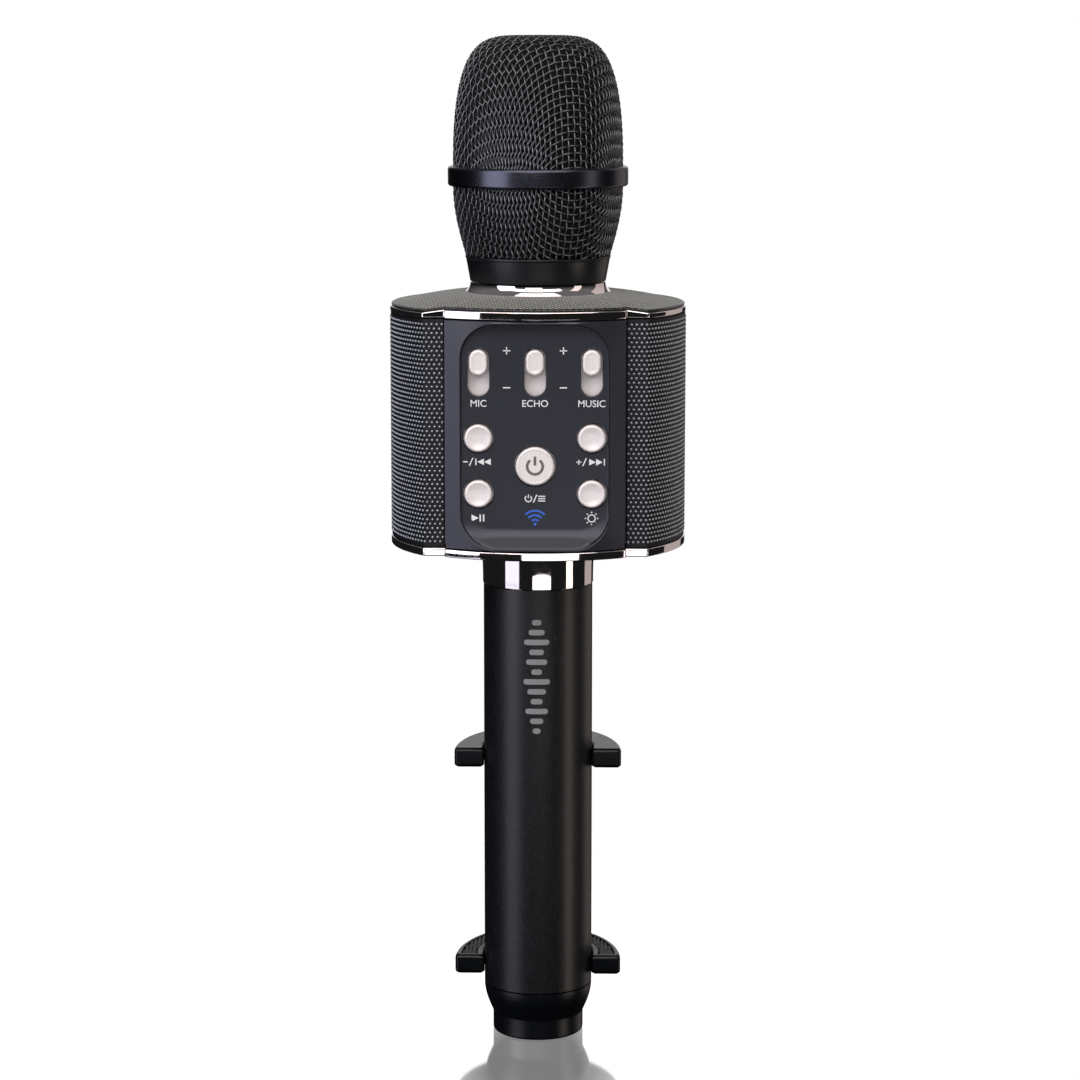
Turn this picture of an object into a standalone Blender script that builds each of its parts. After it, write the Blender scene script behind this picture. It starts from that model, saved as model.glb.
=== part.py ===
"""Karaoke microphone with a speaker body and a phone clamp, as an assembly of separate pieces.

Metres, +Z up. The origin is the middle of the tail cap's flat end, and the controls face -Y.
"""

import math

import bmesh
import bpy

MM = 0.001

# Clearances
GAP = 0.3 * MM  # between two pieces that touch
SPARE_TRAVEL = 0.3 * MM  # left between a pressed button and its switch

# Handle
HANDLE_RADIUS = 14.9 * MM
HANDLE_WALL = 1.8 * MM
HANDLE_LENGTH = 112.9 * MM
TAIL_HEIGHT = 13.8 * MM
TAIL_FOOT_RADIUS = 12.5 * MM
TAIL_FOOT_HEIGHT = 5.4 * MM
TAIL_FLOOR = 3.5 * MM
SPIGOT_LENGTH = 6.2 * MM
SPIGOT_WALL = 2.3 * MM
COLLAR_HEIGHT = 10.9 * MM
COLLAR_FLARE = 0.6 * MM
COLLAR_STEP = 0.2 * MM  # how far the collar's foot stands out from the tube
COLLAR_WALL = 1.0 * MM
WIRE_BORE = 7.5 * MM

# Battery
BATTERY_RADIUS = 9.2 * MM
BATTERY_LENGTH = 65.0 * MM
SLED_WALL = 0.7 * MM

# Phone clamp
JAW_HEIGHT = 5.4 * MM
JAW_REACH = 8.1 * MM  # how far a jaw stands out beside the handle
JAW_DEPTH = 30.0 * MM
JAW_FRONT = 4.4 * MM  # of the front face, ahead of the handle's axis
JAW_RIM = 1.6 * MM
LOWER_JAW_Z = 16.6 * MM
PHONE_GAP = 53.6 * MM
JAW_TRAVEL = 30.0 * MM
PAD_THICKNESS = 1.2 * MM
KEY_WIDTH = 5.4 * MM
KEY_REACH = 6.0 * MM
CARRIAGE_HEIGHT = 10.0 * MM
CARRIAGE_WIDTH = 12.0 * MM
SPRING_RADIUS = 2.5 * MM

# Speaker body
BODY_RADIUS = 40.0 * MM
BODY_HEIGHT = 65.5 * MM
TRIM_HEIGHT = 2.2 * MM
TRIM_WIDTH = 2.0 * MM
TRIM_DROP = 0.8 * MM  # how much lower the trim is at the sides than at the panels
PANEL_HALF_WIDTH = 23.9 * MM
PANEL_RADIUS = 46.0 * MM
PANEL_STEP = 1.8 * MM  # how far a panel's edge stands out from the strip beside it
STRIP_WIDTH = 5.5 * MM
GRILLE_WALL = 1.2 * MM
COVER_RISE = 3.1 * MM
COVER_WALL = 2.2 * MM
CORE_WALL = 2.0 * MM
BOARD_THICKNESS = 1.4 * MM
BOARD_MARGIN = 1.0 * MM

# Front panel and its controls
PANEL_WALL = 2.0 * MM
RECESS_DEPTH = 4.8 * MM
RECESS_HALF_WIDTH = 19.5 * MM
RECESS_TOP_MARGIN = 1.0 * MM
RECESS_FOOT_MARGIN = 0.5 * MM
RECESS_RAMP = 7.0 * MM
RECESS_CORNER = 9.0 * MM
SLIDER_PITCH = 14.85 * MM
SLIDER_TRAVEL = 5.0 * MM
SLIDER_TOP_MARGIN = 7.1 * MM
KNOB_WIDTH = 4.65 * MM
KNOB_LENGTH = 6.75 * MM
KNOB_PROUD = 1.2 * MM
SLOT_GAP = 0.5 * MM
SKIRT = 0.8 * MM
LEVER_WIDTH = 1.2 * MM
BUTTON_RADIUS = 3.6 * MM
POWER_RADIUS = 5.05 * MM
BUTTON_PROUD = 1.1 * MM
BUTTON_TRAVEL = 0.8 * MM
BUTTON_GAP = 0.45 * MM
BUTTON_SPREAD = 14.9 * MM
SWITCH_SIZE = 5.0 * MM
SWITCH_HEIGHT = 2.2 * MM

# Speaker drivers
DRIVER_RADIUS = 19.5 * MM
BASKET_RADIUS = 16.4 * MM
FLANGE = 1.5 * MM
DRIVER_DEPTH = 16.0 * MM
MAGNET_RADIUS = 11.0 * MM

# Rear sockets
SOCKET_HEIGHT = 9.0 * MM  # of the sockets' middle above the panel's foot
SOCKET_SPREAD = 12.0 * MM
USB_SIZE = (9.0 * MM, 3.3 * MM)
CARD_SIZE = (14.0 * MM, 2.6 * MM)
JACK_RADIUS = 3.0 * MM
JACK_BORE = 1.75 * MM
SOCKET_WALL = 0.4 * MM

# Neck and head
NECK_RADIUS = 18.3 * MM
NECK_FLARE = 1.2 * MM
NECK_HEIGHT = 2.2 * MM
NECK_WALL = 2.0 * MM
NECK_SHOULDER = 1.4 * MM
HEAD_RING_HEIGHT = 6.8 * MM
HEAD_RING_FLARE = 1.3 * MM
HEAD_RADIUS = 22.9 * MM
MESH_WALL = 1.0 * MM
LOWER_MESH_HEIGHT = 18.0 * MM
BAND_HEIGHT = 5.3 * MM
BAND_RADIUS = 24.25 * MM
BAND_WALL = 2.6 * MM
DOME_HEIGHT = 34.4 * MM
DOME_SIDE_POWER = 5.0  # exponents of the superellipse that the dome's side view follows
DOME_RISE_POWER = 2.38
FOAM_WALL = 4.0 * MM
CAPSULE_RADIUS = 11.5 * MM
CAPSULE_HEIGHT = 18.0 * MM
CARRIER_RADIUS = 15.0 * MM
CARRIER_WALL = 2.0 * MM

# Small fasteners
JAW_SCREW_RADIUS = 0.9 * MM
JAW_SCREW_HEAD = 1.5 * MM
BODY_SCREW_RADIUS = 1.1 * MM
BODY_SCREW_HEAD = 2.2 * MM
BODY_SCREW_LENGTH = 6.0 * MM
BODY_SCREW_INSET = 5.0 * MM
SCREW_HEAD_HEIGHT = 1.4 * MM
JAW_SCREW_SEAT = 4.5 * MM  # depth of jaw under the screw's head

# Smoothness
BODY_STEPS = 32
MID_STEPS = 24
SMALL_STEPS = 12
SIDE_ARC_STEPS = 12
PANEL_ARC_STEPS = 12

# Places that follow from the sizes above, from the foot up
TUBE_Z = TAIL_HEIGHT + GAP
TUBE_TOP_Z = TUBE_Z + HANDLE_LENGTH
COLLAR_Z = TUBE_TOP_Z + GAP
COLLAR_TOP_Z = COLLAR_Z + COLLAR_HEIGHT
BODY_Z = COLLAR_TOP_Z + GAP
BODY_TOP_Z = BODY_Z + BODY_HEIGHT
SHELL_Z = BODY_Z + TRIM_HEIGHT + GAP
SHELL_TOP_Z = BODY_TOP_Z - TRIM_HEIGHT - GAP
COVER_TOP_Z = BODY_TOP_Z + COVER_RISE - GAP
NECK_Z = COVER_TOP_Z + GAP
NECK_TOP_Z = NECK_Z + NECK_HEIGHT
HEAD_RING_Z = NECK_TOP_Z + GAP
LOWER_MESH_Z = HEAD_RING_Z + HEAD_RING_HEIGHT + GAP
BAND_Z = LOWER_MESH_Z + LOWER_MESH_HEIGHT + GAP
DOME_Z = BAND_Z + BAND_HEIGHT + GAP

TUBE_BORE = HANDLE_RADIUS - HANDLE_WALL
SPIGOT_RADIUS = TUBE_BORE - GAP
SPIGOT_TOP_Z = TAIL_HEIGHT + SPIGOT_LENGTH
BATTERY_Z = SPIGOT_TOP_Z + 2 * GAP
SLED_BORE = BATTERY_RADIUS + GAP
BATTERY_Y = SLED_BORE + SLED_WALL - SPIGOT_RADIUS
JAW_BORE = HANDLE_RADIUS + GAP
UPPER_JAW_Z = LOWER_JAW_Z + JAW_HEIGHT + PHONE_GAP
KEY_Z = UPPER_JAW_Z + JAW_RIM + GAP
KEY_TOP_Z = UPPER_JAW_Z + JAW_HEIGHT - JAW_RIM
CARRIAGE_Z = (KEY_Z + KEY_TOP_Z - CARRIAGE_HEIGHT) / 2
CARRIAGE_Y = BATTERY_Y + BATTERY_RADIUS + 2 * GAP
SPRING_Y = (CARRIAGE_Y + SPIGOT_RADIUS) / 2
SPRING_SEAT_Z = COLLAR_Z - SPIGOT_LENGTH + GAP
JAW_SCREW_Z = LOWER_JAW_Z + JAW_SCREW_HEAD + 0.7 * MM
NECK_SLEEVE = NECK_RADIUS - NECK_SHOULDER

# Places across the body; a panel, a board or a wall is at minus this for the front one
STRIP_X = PANEL_HALF_WIDTH + GAP + STRIP_WIDTH
FLAT_Y = math.sqrt(BODY_RADIUS**2 - STRIP_X**2)
PANEL_EDGE_Y = FLAT_Y + PANEL_STEP
PANEL_CENTRE_Y = math.sqrt(PANEL_RADIUS**2 - PANEL_HALF_WIDTH**2) - PANEL_EDGE_Y
PANEL_MID_Y = PANEL_RADIUS - PANEL_CENTRE_Y
FLOOR_Y = PANEL_MID_Y - RECESS_DEPTH
INNER_Y = FLOOR_Y - PANEL_WALL
SKIRT_Y = INNER_Y - GAP
SWITCH_Y = SKIRT_Y - SKIRT - BUTTON_TRAVEL - SPARE_TRAVEL
BOARD_Y = SWITCH_Y - SWITCH_HEIGHT - GAP
CORE_Y = BOARD_Y - BOARD_THICKNESS - 3 * GAP
GRILLE_BORE = BODY_RADIUS - GRILLE_WALL
CORE_CORNER_X = math.sqrt((GRILLE_BORE - GAP) ** 2 - CORE_Y**2)
DRIVER_FACE_X = math.sqrt((GRILLE_BORE - GAP) ** 2 - DRIVER_RADIUS**2)
CORE_X = min(CORE_CORNER_X, DRIVER_FACE_X - FLANGE - 2 * GAP)
BOARD_X = PANEL_HALF_WIDTH - PANEL_WALL - GAP
BODY_SCREW_X = CORE_X - CORE_WALL - BODY_SCREW_INSET

# Places on the front panel
RECESS_TOP_Z = SHELL_TOP_Z - RECESS_TOP_MARGIN
RECESS_FOOT_Z = SHELL_Z + RECESS_FOOT_MARGIN
FLOOR_FOOT_Z = RECESS_FOOT_Z + RECESS_RAMP
SLOT_WIDTH = KNOB_WIDTH + 2 * SLOT_GAP
SLOT_LENGTH = KNOB_LENGTH + SLIDER_TRAVEL + 2 * SLOT_GAP
SLOT_TOP_Z = SHELL_TOP_Z - SLIDER_TOP_MARGIN
SLOT_FOOT_Z = SLOT_TOP_Z - SLOT_LENGTH
SLOT_MID_Z = (SLOT_TOP_Z + SLOT_FOOT_Z) / 2
KNOB_Z = SLOT_TOP_Z - SLOT_GAP - KNOB_LENGTH / 2
BUTTON_ROW = (SLOT_FOOT_Z - FLOOR_FOOT_Z) / 4.5
DRIVER_Z = (SHELL_Z + SHELL_TOP_Z) / 2
BUTTONS = (  # name, x, z, radius
    ("button_previous", -BUTTON_SPREAD, FLOOR_FOOT_Z + 3 * BUTTON_ROW, BUTTON_RADIUS),
    ("button_next", BUTTON_SPREAD, FLOOR_FOOT_Z + 3 * BUTTON_ROW, BUTTON_RADIUS),
    ("button_power", 0, FLOOR_FOOT_Z + 2 * BUTTON_ROW, POWER_RADIUS),
    ("button_play", -BUTTON_SPREAD, FLOOR_FOOT_Z + BUTTON_ROW, BUTTON_RADIUS),
    ("button_light", BUTTON_SPREAD, FLOOR_FOOT_Z + BUTTON_ROW, BUTTON_RADIUS),
)

# Finishes: sRGB colour, roughness, metallic
FINISHES = {
    "satin_black_paint": ("17181b", 0.38, 0.2),
    "sparkle_black_paint": ("1d1e21", 0.30, 0.6),
    "black_wire": ("26262a", 0.35, 0.9),
    "mirror_chrome": ("e9e2e3", 0.06, 1.0),
    "panel_black": ("33343c", 0.45, 0.1),
    "grille_steel": ("1f2430", 0.35, 0.8),
    "silver_plastic": ("d8d0cf", 0.22, 0.9),
    "fabric_dark": ("5b5a50", 0.85, 0.0),
    "black_plastic": ("111114", 0.55, 0.0),
    "grey_rubber": ("2b2b2d", 0.85, 0.0),
    "board_green": ("16502c", 0.50, 0.0),
    "steel": ("a9abad", 0.30, 1.0),
    "brass": ("b58b3c", 0.30, 1.0),
    "cell_wrap": ("2f5f94", 0.45, 0.0),
    "foam": ("1b1b1d", 0.95, 0.0),
    "paper_cone": ("222224", 0.80, 0.0),
}


def collection(name):
    made = bpy.data.collections.new(name)
    bpy.context.scene.collection.children.link(made)
    return made


def finished(piece, finish):
    """Gives a piece its own material, or makes it a cutter where the finish is None."""
    if finish is None:
        cutters.objects.link(piece)
        piece.hide_render = True
        piece.display_type = "WIRE"
        return piece
    parts.objects.link(piece)
    colour, roughness, metallic = FINISHES[finish]
    made = bpy.data.materials.new(piece.name + "_" + finish)
    made.use_nodes = True
    shader = made.node_tree.nodes["Principled BSDF"]
    linear = [(int(colour[i : i + 2], 16) / 255) ** 2.2 for i in (0, 2, 4)]
    shader.inputs["Base Color"].default_value = (*linear, 1.0)
    shader.inputs["Roughness"].default_value = roughness
    shader.inputs["Metallic"].default_value = metallic
    piece.data.materials.append(made)
    return piece


def turned(name, profile, finish, steps=MID_STEPS, at=(0, 0, 0), turn=(0, 0, 0)):
    """A turned piece. The profile holds (radius, height) pairs that run down its outer side."""
    count = len(profile)
    ring = profile[0][0] > 0
    edges = [(i, (i + 1) % count) for i in range(count if ring else count - 1)]
    mesh = bpy.data.meshes.new(name)
    mesh.from_pydata([(radius, 0, height) for radius, height in profile], edges, [])
    piece = bpy.data.objects.new(name, mesh)
    piece.location = at
    piece.rotation_euler = turn
    screw = piece.modifiers.new("Turn", "SCREW")
    screw.steps = screw.render_steps = steps
    screw.use_merge_vertices = True
    screw.merge_threshold = 0.01 * MM
    return finished(piece, finish)


def plate(name, outlines, low, high, finish, at=(0, 0, 0), turn=(0, 0, 0)):
    """A flat piece between two heights: its outline first, then any openings."""
    curve = bpy.data.curves.new(name, "CURVE")
    curve.dimensions = "2D"
    curve.fill_mode = "BOTH"
    curve.extrude = (high - low) / 2
    for outline in outlines:
        spline = curve.splines.new("POLY")
        spline.points.add(len(outline) - 1)
        for point, (x, y) in zip(spline.points, outline):
            point.co = (x, y, 0, 1)
        spline.use_cyclic_u = True
    shape = bpy.data.objects.new(name, curve)
    bpy.context.scene.collection.objects.link(shape)
    bpy.context.view_layer.update()
    seen = shape.evaluated_get(bpy.context.evaluated_depsgraph_get())
    mesh = bpy.data.meshes.new_from_object(seen)
    bpy.data.objects.remove(shape)
    bpy.data.curves.remove(curve)
    work = bmesh.new()
    work.from_mesh(mesh)
    bmesh.ops.remove_doubles(work, verts=work.verts, dist=0.001 * MM)
    bmesh.ops.translate(work, verts=work.verts, vec=(0, 0, (low + high) / 2))
    bmesh.ops.recalc_face_normals(work, faces=work.faces)
    work.to_mesh(mesh)
    work.free()
    mesh.name = name
    mesh.shade_smooth()
    mesh.set_sharp_from_angle(angle=math.radians(35))
    piece = bpy.data.objects.new(name, mesh)
    piece.location = at
    piece.rotation_euler = turn
    return finished(piece, finish)


def block(name, low, high, finish):
    """A box between two corners."""
    mesh = bpy.data.meshes.new(name)
    work = bmesh.new()
    bmesh.ops.create_cube(work, size=1)
    bmesh.ops.scale(work, vec=[b - a for a, b in zip(low, high)], verts=work.verts)
    bmesh.ops.translate(work, vec=[(a + b) / 2 for a, b in zip(low, high)], verts=work.verts)
    work.to_mesh(mesh)
    work.free()
    return finished(bpy.data.objects.new(name, mesh), finish)


def lofted(name, rings, finish):
    """A ring-shaped piece through closed sections with as many points each; the last joins the first."""
    mesh = bpy.data.meshes.new(name)
    work = bmesh.new()
    loops = [[work.verts.new(point) for point in ring] for ring in rings]
    count = len(loops[0])
    for one, two in zip(loops, loops[1:] + loops[:1]):
        for i in range(count):
            j = (i + 1) % count
            work.faces.new((one[i], one[j], two[j], two[i]))
    bmesh.ops.recalc_face_normals(work, faces=work.faces)
    work.to_mesh(mesh)
    work.free()
    mesh.shade_smooth()
    mesh.set_sharp_from_angle(angle=math.radians(35))
    return finished(bpy.data.objects.new(name, mesh), finish)


def combine(piece, operation, *others, solver="EXACT"):
    for other in others:
        modifier = piece.modifiers.new(other.name, "BOOLEAN")
        modifier.operation = operation
        modifier.solver = solver
        modifier.object = other


def cut(piece, *others, solver="EXACT"):
    combine(piece, "DIFFERENCE", *others, solver=solver)


def arc(radius, start, end, steps, centre=(0, 0)):
    angles = [start + (end - start) * i / steps for i in range(steps + 1)]
    return [(centre[0] + radius * math.cos(a), centre[1] + radius * math.sin(a)) for a in angles]


def circle(radius, steps=MID_STEPS, centre=(0, 0)):
    return arc(radius, 0, math.tau, steps, centre)[:-1]


def rounded_rectangle(width, height, corner, steps=4, centre=(0, 0)):
    points = []
    for quarter, (sx, sy) in enumerate(((1, 1), (-1, 1), (-1, -1), (1, -1))):
        middle = (centre[0] + sx * (width / 2 - corner), centre[1] + sy * (height / 2 - corner))
        points += arc(corner, quarter * math.pi / 2, (quarter + 1) * math.pi / 2, steps, middle)
    return points


def half_outline(inset):
    """The right side and the rear of the body's plan, drawn in from the outside by an inset."""
    radius, flat = BODY_RADIUS - inset, FLAT_Y - inset
    half, bulge = PANEL_HALF_WIDTH - inset, PANEL_RADIUS - inset
    side = math.asin(flat / radius)
    lean = math.asin(half / bulge)
    rear = arc(bulge, math.pi / 2 - lean, math.pi / 2 + lean, PANEL_ARC_STEPS, (0, -PANEL_CENTRE_Y))
    return arc(radius, -side, side, SIDE_ARC_STEPS) + [(half, flat)] + rear + [(-half, flat)]


def body_outline(inset):
    half = half_outline(inset)
    return half + [(-x, -y) for x, y in half]


def trim_rise(x):
    """0 at the panels, 1 at the sides, and a ramp across the strip between them."""
    return min(1, max(0, (abs(x) - PANEL_HALF_WIDTH) / STRIP_WIDTH))


def make_handle():
    foot = [
        (TAIL_FOOT_RADIUS + (HANDLE_RADIUS - TAIL_FOOT_RADIUS) * math.sin(math.pi / 2 * t / 5),
         TAIL_FOOT_HEIGHT + (TAIL_HEIGHT - TAIL_FOOT_HEIGHT) * t / 5)
        for t in range(5, -1, -1)
    ]
    edge = 0.6 * MM
    pocket = SPIGOT_RADIUS - SPIGOT_WALL
    turned(
        "tail_cap",
        [(0, TAIL_FLOOR), (pocket, TAIL_FLOOR), (pocket, SPIGOT_TOP_Z), (SPIGOT_RADIUS, SPIGOT_TOP_Z),
         (SPIGOT_RADIUS, TAIL_HEIGHT), *foot, (TAIL_FOOT_RADIUS, edge), (TAIL_FOOT_RADIUS - edge, 0), (0, 0)],
        "satin_black_paint", BODY_STEPS,
    )
    tube = turned(
        "handle_tube",
        [(HANDLE_RADIUS, TUBE_TOP_Z), (HANDLE_RADIUS, TUBE_Z), (TUBE_BORE, TUBE_Z), (TUBE_BORE, TUBE_TOP_Z)],
        "sparkle_black_paint", BODY_STEPS,
    )
    slot = block(
        "key_slot",
        (-KEY_WIDTH / 2 - GAP, SPIGOT_RADIUS - HANDLE_WALL, KEY_Z - GAP),
        (KEY_WIDTH / 2 + GAP, HANDLE_RADIUS + HANDLE_WALL, KEY_TOP_Z + JAW_TRAVEL + GAP),
        None,
    )
    cut(tube, slot, jaw_screw_hole("tube_screw_hole", TUBE_BORE - HANDLE_WALL, JAW_BORE + GAP))
    foot_radius = HANDLE_RADIUS + COLLAR_STEP
    collar_bore = SPIGOT_RADIUS - COLLAR_WALL
    turned(
        "lower_collar",
        [(foot_radius + COLLAR_FLARE, COLLAR_TOP_Z),
         (foot_radius + COLLAR_FLARE / 3, COLLAR_TOP_Z - COLLAR_HEIGHT / 3),
         (foot_radius, COLLAR_Z), (SPIGOT_RADIUS, COLLAR_Z), (SPIGOT_RADIUS, SPRING_SEAT_Z),
         (WIRE_BORE, SPRING_SEAT_Z), (WIRE_BORE, COLLAR_Z), (collar_bore, COLLAR_Z + COLLAR_WALL),
         (collar_bore, COLLAR_TOP_Z)],
        "mirror_chrome", BODY_STEPS,
    )


def make_battery():
    turned(
        "battery_cell",
        [(0, BATTERY_Z + BATTERY_LENGTH + 1 * MM), (3 * MM, BATTERY_Z + BATTERY_LENGTH + 1 * MM),
         (3 * MM, BATTERY_Z + BATTERY_LENGTH), (BATTERY_RADIUS, BATTERY_Z + BATTERY_LENGTH),
         (BATTERY_RADIUS, BATTERY_Z), (0, BATTERY_Z)],
        "cell_wrap", SMALL_STEPS, at=(0, BATTERY_Y, 0),
    )
    outer = math.radians(12)
    inner = math.asin((SPIGOT_RADIUS * math.sin(outer) - BATTERY_Y) / SLED_BORE)
    cradle = arc(SPIGOT_RADIUS, -math.pi - outer, outer, 20)
    cradle += arc(SLED_BORE, inner, -math.pi - inner, 20, (0, BATTERY_Y))
    plate("battery_sled", [cradle], BATTERY_Z, BATTERY_Z + BATTERY_LENGTH + 2 * MM, "black_plastic")
    low, high = TAIL_FLOOR + GAP, BATTERY_Z - GAP
    turned(
        "contact_spring",
        [(5.5 * MM, high), (7.5 * MM, low), (6.7 * MM, low), (4.7 * MM, high)],
        "steel", SMALL_STEPS, at=(0, BATTERY_Y / 2, 0),
    )


def jaw_outline(inset):
    """A jaw's plan: a flat front face, a deep round back and a bore that hugs the handle."""
    front, bore = inset - JAW_FRONT, JAW_BORE + inset
    wide, deep = HANDLE_RADIUS + JAW_REACH - inset, JAW_DEPTH - 2 * inset
    back = [(wide * math.cos(math.pi * i / 20), front + deep * math.sin(math.pi * i / 20)) for i in range(21)]
    lean = math.asin(-front / bore)
    return back + arc(bore, math.pi + lean, -lean, 18)


def jaw_screw_hole(name, near, far):
    radius = JAW_SCREW_RADIUS + GAP
    return turned(
        name, [(0, far), (radius, far), (radius, near), (0, near)], None, SMALL_STEPS,
        at=(0, 0, JAW_SCREW_Z), turn=(-math.pi / 2, 0, 0),
    )


def make_lower_jaw():
    jaw = plate("jaw_lower", [jaw_outline(0)], LOWER_JAW_Z, LOWER_JAW_Z + JAW_HEIGHT, "black_plastic")
    top = LOWER_JAW_Z + JAW_HEIGHT
    pocket = plate("lower_pad_pocket", [jaw_outline(JAW_RIM)], top - JAW_RIM, top + JAW_RIM, None)
    pad_z = top - JAW_RIM + GAP
    plate("jaw_pad_lower", [jaw_outline(JAW_RIM + GAP)], pad_z, pad_z + PAD_THICKNESS, "grey_rubber")
    head_y = JAW_BORE + JAW_SCREW_SEAT
    recess = JAW_SCREW_HEAD + GAP
    counterbore = turned(
        "screw_counterbore",
        [(0, JAW_DEPTH), (recess, JAW_DEPTH), (recess, head_y), (0, head_y)],
        None, SMALL_STEPS, at=(0, 0, JAW_SCREW_Z), turn=(-math.pi / 2, 0, 0),
    )
    cut(jaw, pocket, jaw_screw_hole("jaw_screw_bore", JAW_BORE - GAP, head_y + GAP), counterbore)
    seat, tip, head = head_y + GAP, TUBE_BORE + GAP, SCREW_HEAD_HEIGHT
    turned(
        "jaw_screw",
        [(0, seat + head), (JAW_SCREW_HEAD, seat + head), (JAW_SCREW_HEAD, seat), (JAW_SCREW_RADIUS, seat),
         (JAW_SCREW_RADIUS, tip), (0, tip)],
        "steel", SMALL_STEPS, at=(0, 0, JAW_SCREW_Z), turn=(-math.pi / 2, 0, 0),
    )


def make_upper_jaw():
    """The sliding jaw, its pad and the carriage inside the handle move together on one empty."""
    slide = bpy.data.objects.new("upper_jaw_slide", None)
    slide.location = (0, SPRING_Y, UPPER_JAW_Z)
    parts.objects.link(slide)
    jaw = plate("jaw_upper", [jaw_outline(0)], UPPER_JAW_Z, UPPER_JAW_Z + JAW_HEIGHT, "black_plastic")
    pocket = plate(
        "upper_pad_pocket", [jaw_outline(JAW_RIM)], UPPER_JAW_Z - JAW_RIM, UPPER_JAW_Z + JAW_RIM - GAP, None
    )
    half, end = KEY_WIDTH / 2, JAW_BORE + KEY_REACH
    key_pocket = block(
        "key_pocket",
        (-half - GAP, JAW_BORE - 1 * MM, KEY_Z - GAP), (half + GAP, end + GAP, KEY_TOP_Z + GAP),
        None,
    )
    cut(jaw, pocket, key_pocket)
    pad_top = UPPER_JAW_Z + JAW_RIM - 2 * GAP
    pad = plate(
        "jaw_pad_upper", [jaw_outline(JAW_RIM + GAP)], pad_top - PAD_THICKNESS + GAP, pad_top, "grey_rubber"
    )
    lean = math.asin(CARRIAGE_WIDTH / 2 / SPIGOT_RADIUS)
    plan = arc(SPIGOT_RADIUS, math.pi / 2 - lean, math.pi / 2 + lean, 8)
    plan += [(-CARRIAGE_WIDTH / 2, CARRIAGE_Y), (CARRIAGE_WIDTH / 2, CARRIAGE_Y)]
    carriage = plate("jaw_carriage", [plan], CARRIAGE_Z, CARRIAGE_Z + CARRIAGE_HEIGHT, "black_plastic")
    key = block("carriage_key", (-half, SPRING_Y, KEY_Z), (half, end, KEY_TOP_Z), None)
    combine(carriage, "UNION", key)
    for piece in (jaw, pad, carriage, pocket, key_pocket, key):
        piece.parent = slide
        piece.location = [-value for value in slide.location]
    low, high = CARRIAGE_Z + CARRIAGE_HEIGHT + GAP, SPRING_SEAT_Z - GAP
    bore = SPRING_RADIUS - 0.8 * MM
    turned(
        "return_spring",
        [(SPRING_RADIUS, high), (SPRING_RADIUS, low), (bore, low), (bore, high)],
        "steel", SMALL_STEPS, at=(0, SPRING_Y, 0),
    )


def trim_ring(name, low, high, low_drop, high_drop):
    """A bright ring round the body, lower or higher at the sides than at the panels."""
    outer, inner = body_outline(0), body_outline(TRIM_WIDTH)
    rings = []
    for plan, level, drop in ((outer, high, high_drop), (outer, low, low_drop), (inner, low, low_drop),
                              (inner, high, high_drop)):
        rings.append([(x, y, level - drop * trim_rise(ox)) for (x, y), (ox, _) in zip(plan, outer)])
    lofted(name, rings, "mirror_chrome")


def make_body_ends():
    trim_ring("bottom_trim", BODY_Z, SHELL_Z - GAP, 0, 0)
    trim_ring("top_trim", SHELL_TOP_Z + GAP, BODY_TOP_Z, 0, TRIM_DROP)
    floor = plate(
        "bottom_cover",
        [body_outline(TRIM_WIDTH + GAP), circle(WIRE_BORE)], BODY_Z, SHELL_Z - GAP, "black_plastic",
    )
    rim = body_outline(GAP)
    neck_bore = NECK_SLEEVE + GAP
    thin = 0.5 * MM
    rings = []
    steps = 4
    for i in range(steps + 1):
        share = i / steps
        swell = math.sin(share * math.pi / 2)
        ring = []
        for x, y in rim:
            reach = math.hypot(x, y)
            shrink = 1 + (neck_bore / reach - 1) * share
            rim_z = BODY_TOP_Z - TRIM_DROP * trim_rise(x) + GAP + thin
            ring.append((x * shrink, y * shrink, rim_z + (COVER_TOP_Z - rim_z) * swell))
        rings.append(ring)
    under = COVER_TOP_Z - COVER_WALL
    rings.append([(x, y, under) for x, y, _ in rings[-1]])
    rings.append([(x, y, BODY_TOP_Z - TRIM_DROP * trim_rise(x) + GAP) for x, y in rim])
    lofted("top_cover", rings, "fabric_dark")
    for side, x in (("left", -BODY_SCREW_X), ("right", BODY_SCREW_X)):
        top = BODY_Z + GAP + BODY_SCREW_LENGTH
        head = SCREW_HEAD_HEIGHT
        turned(
            "body_screw_" + side,
            [(0, top), (BODY_SCREW_RADIUS, top), (BODY_SCREW_RADIUS, BODY_Z + GAP + head),
             (BODY_SCREW_HEAD, BODY_Z + GAP + head), (BODY_SCREW_HEAD, BODY_Z + GAP), (0, BODY_Z + GAP)],
            "steel", SMALL_STEPS, at=(x, 0, 0),
        )
        bore, recess = BODY_SCREW_RADIUS + GAP, BODY_SCREW_HEAD + GAP
        lip = BODY_Z + 2 * GAP + head
        hole = turned(
            "body_screw_hole_" + side,
            [(0, top + GAP), (bore, top + GAP), (bore, lip), (recess, lip), (recess, BODY_Z - 1 * MM),
             (0, BODY_Z - 1 * MM)],
            None, SMALL_STEPS, at=(x, 0, 0),
        )
        cut(floor, hole, solver="MANIFOLD")


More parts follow.
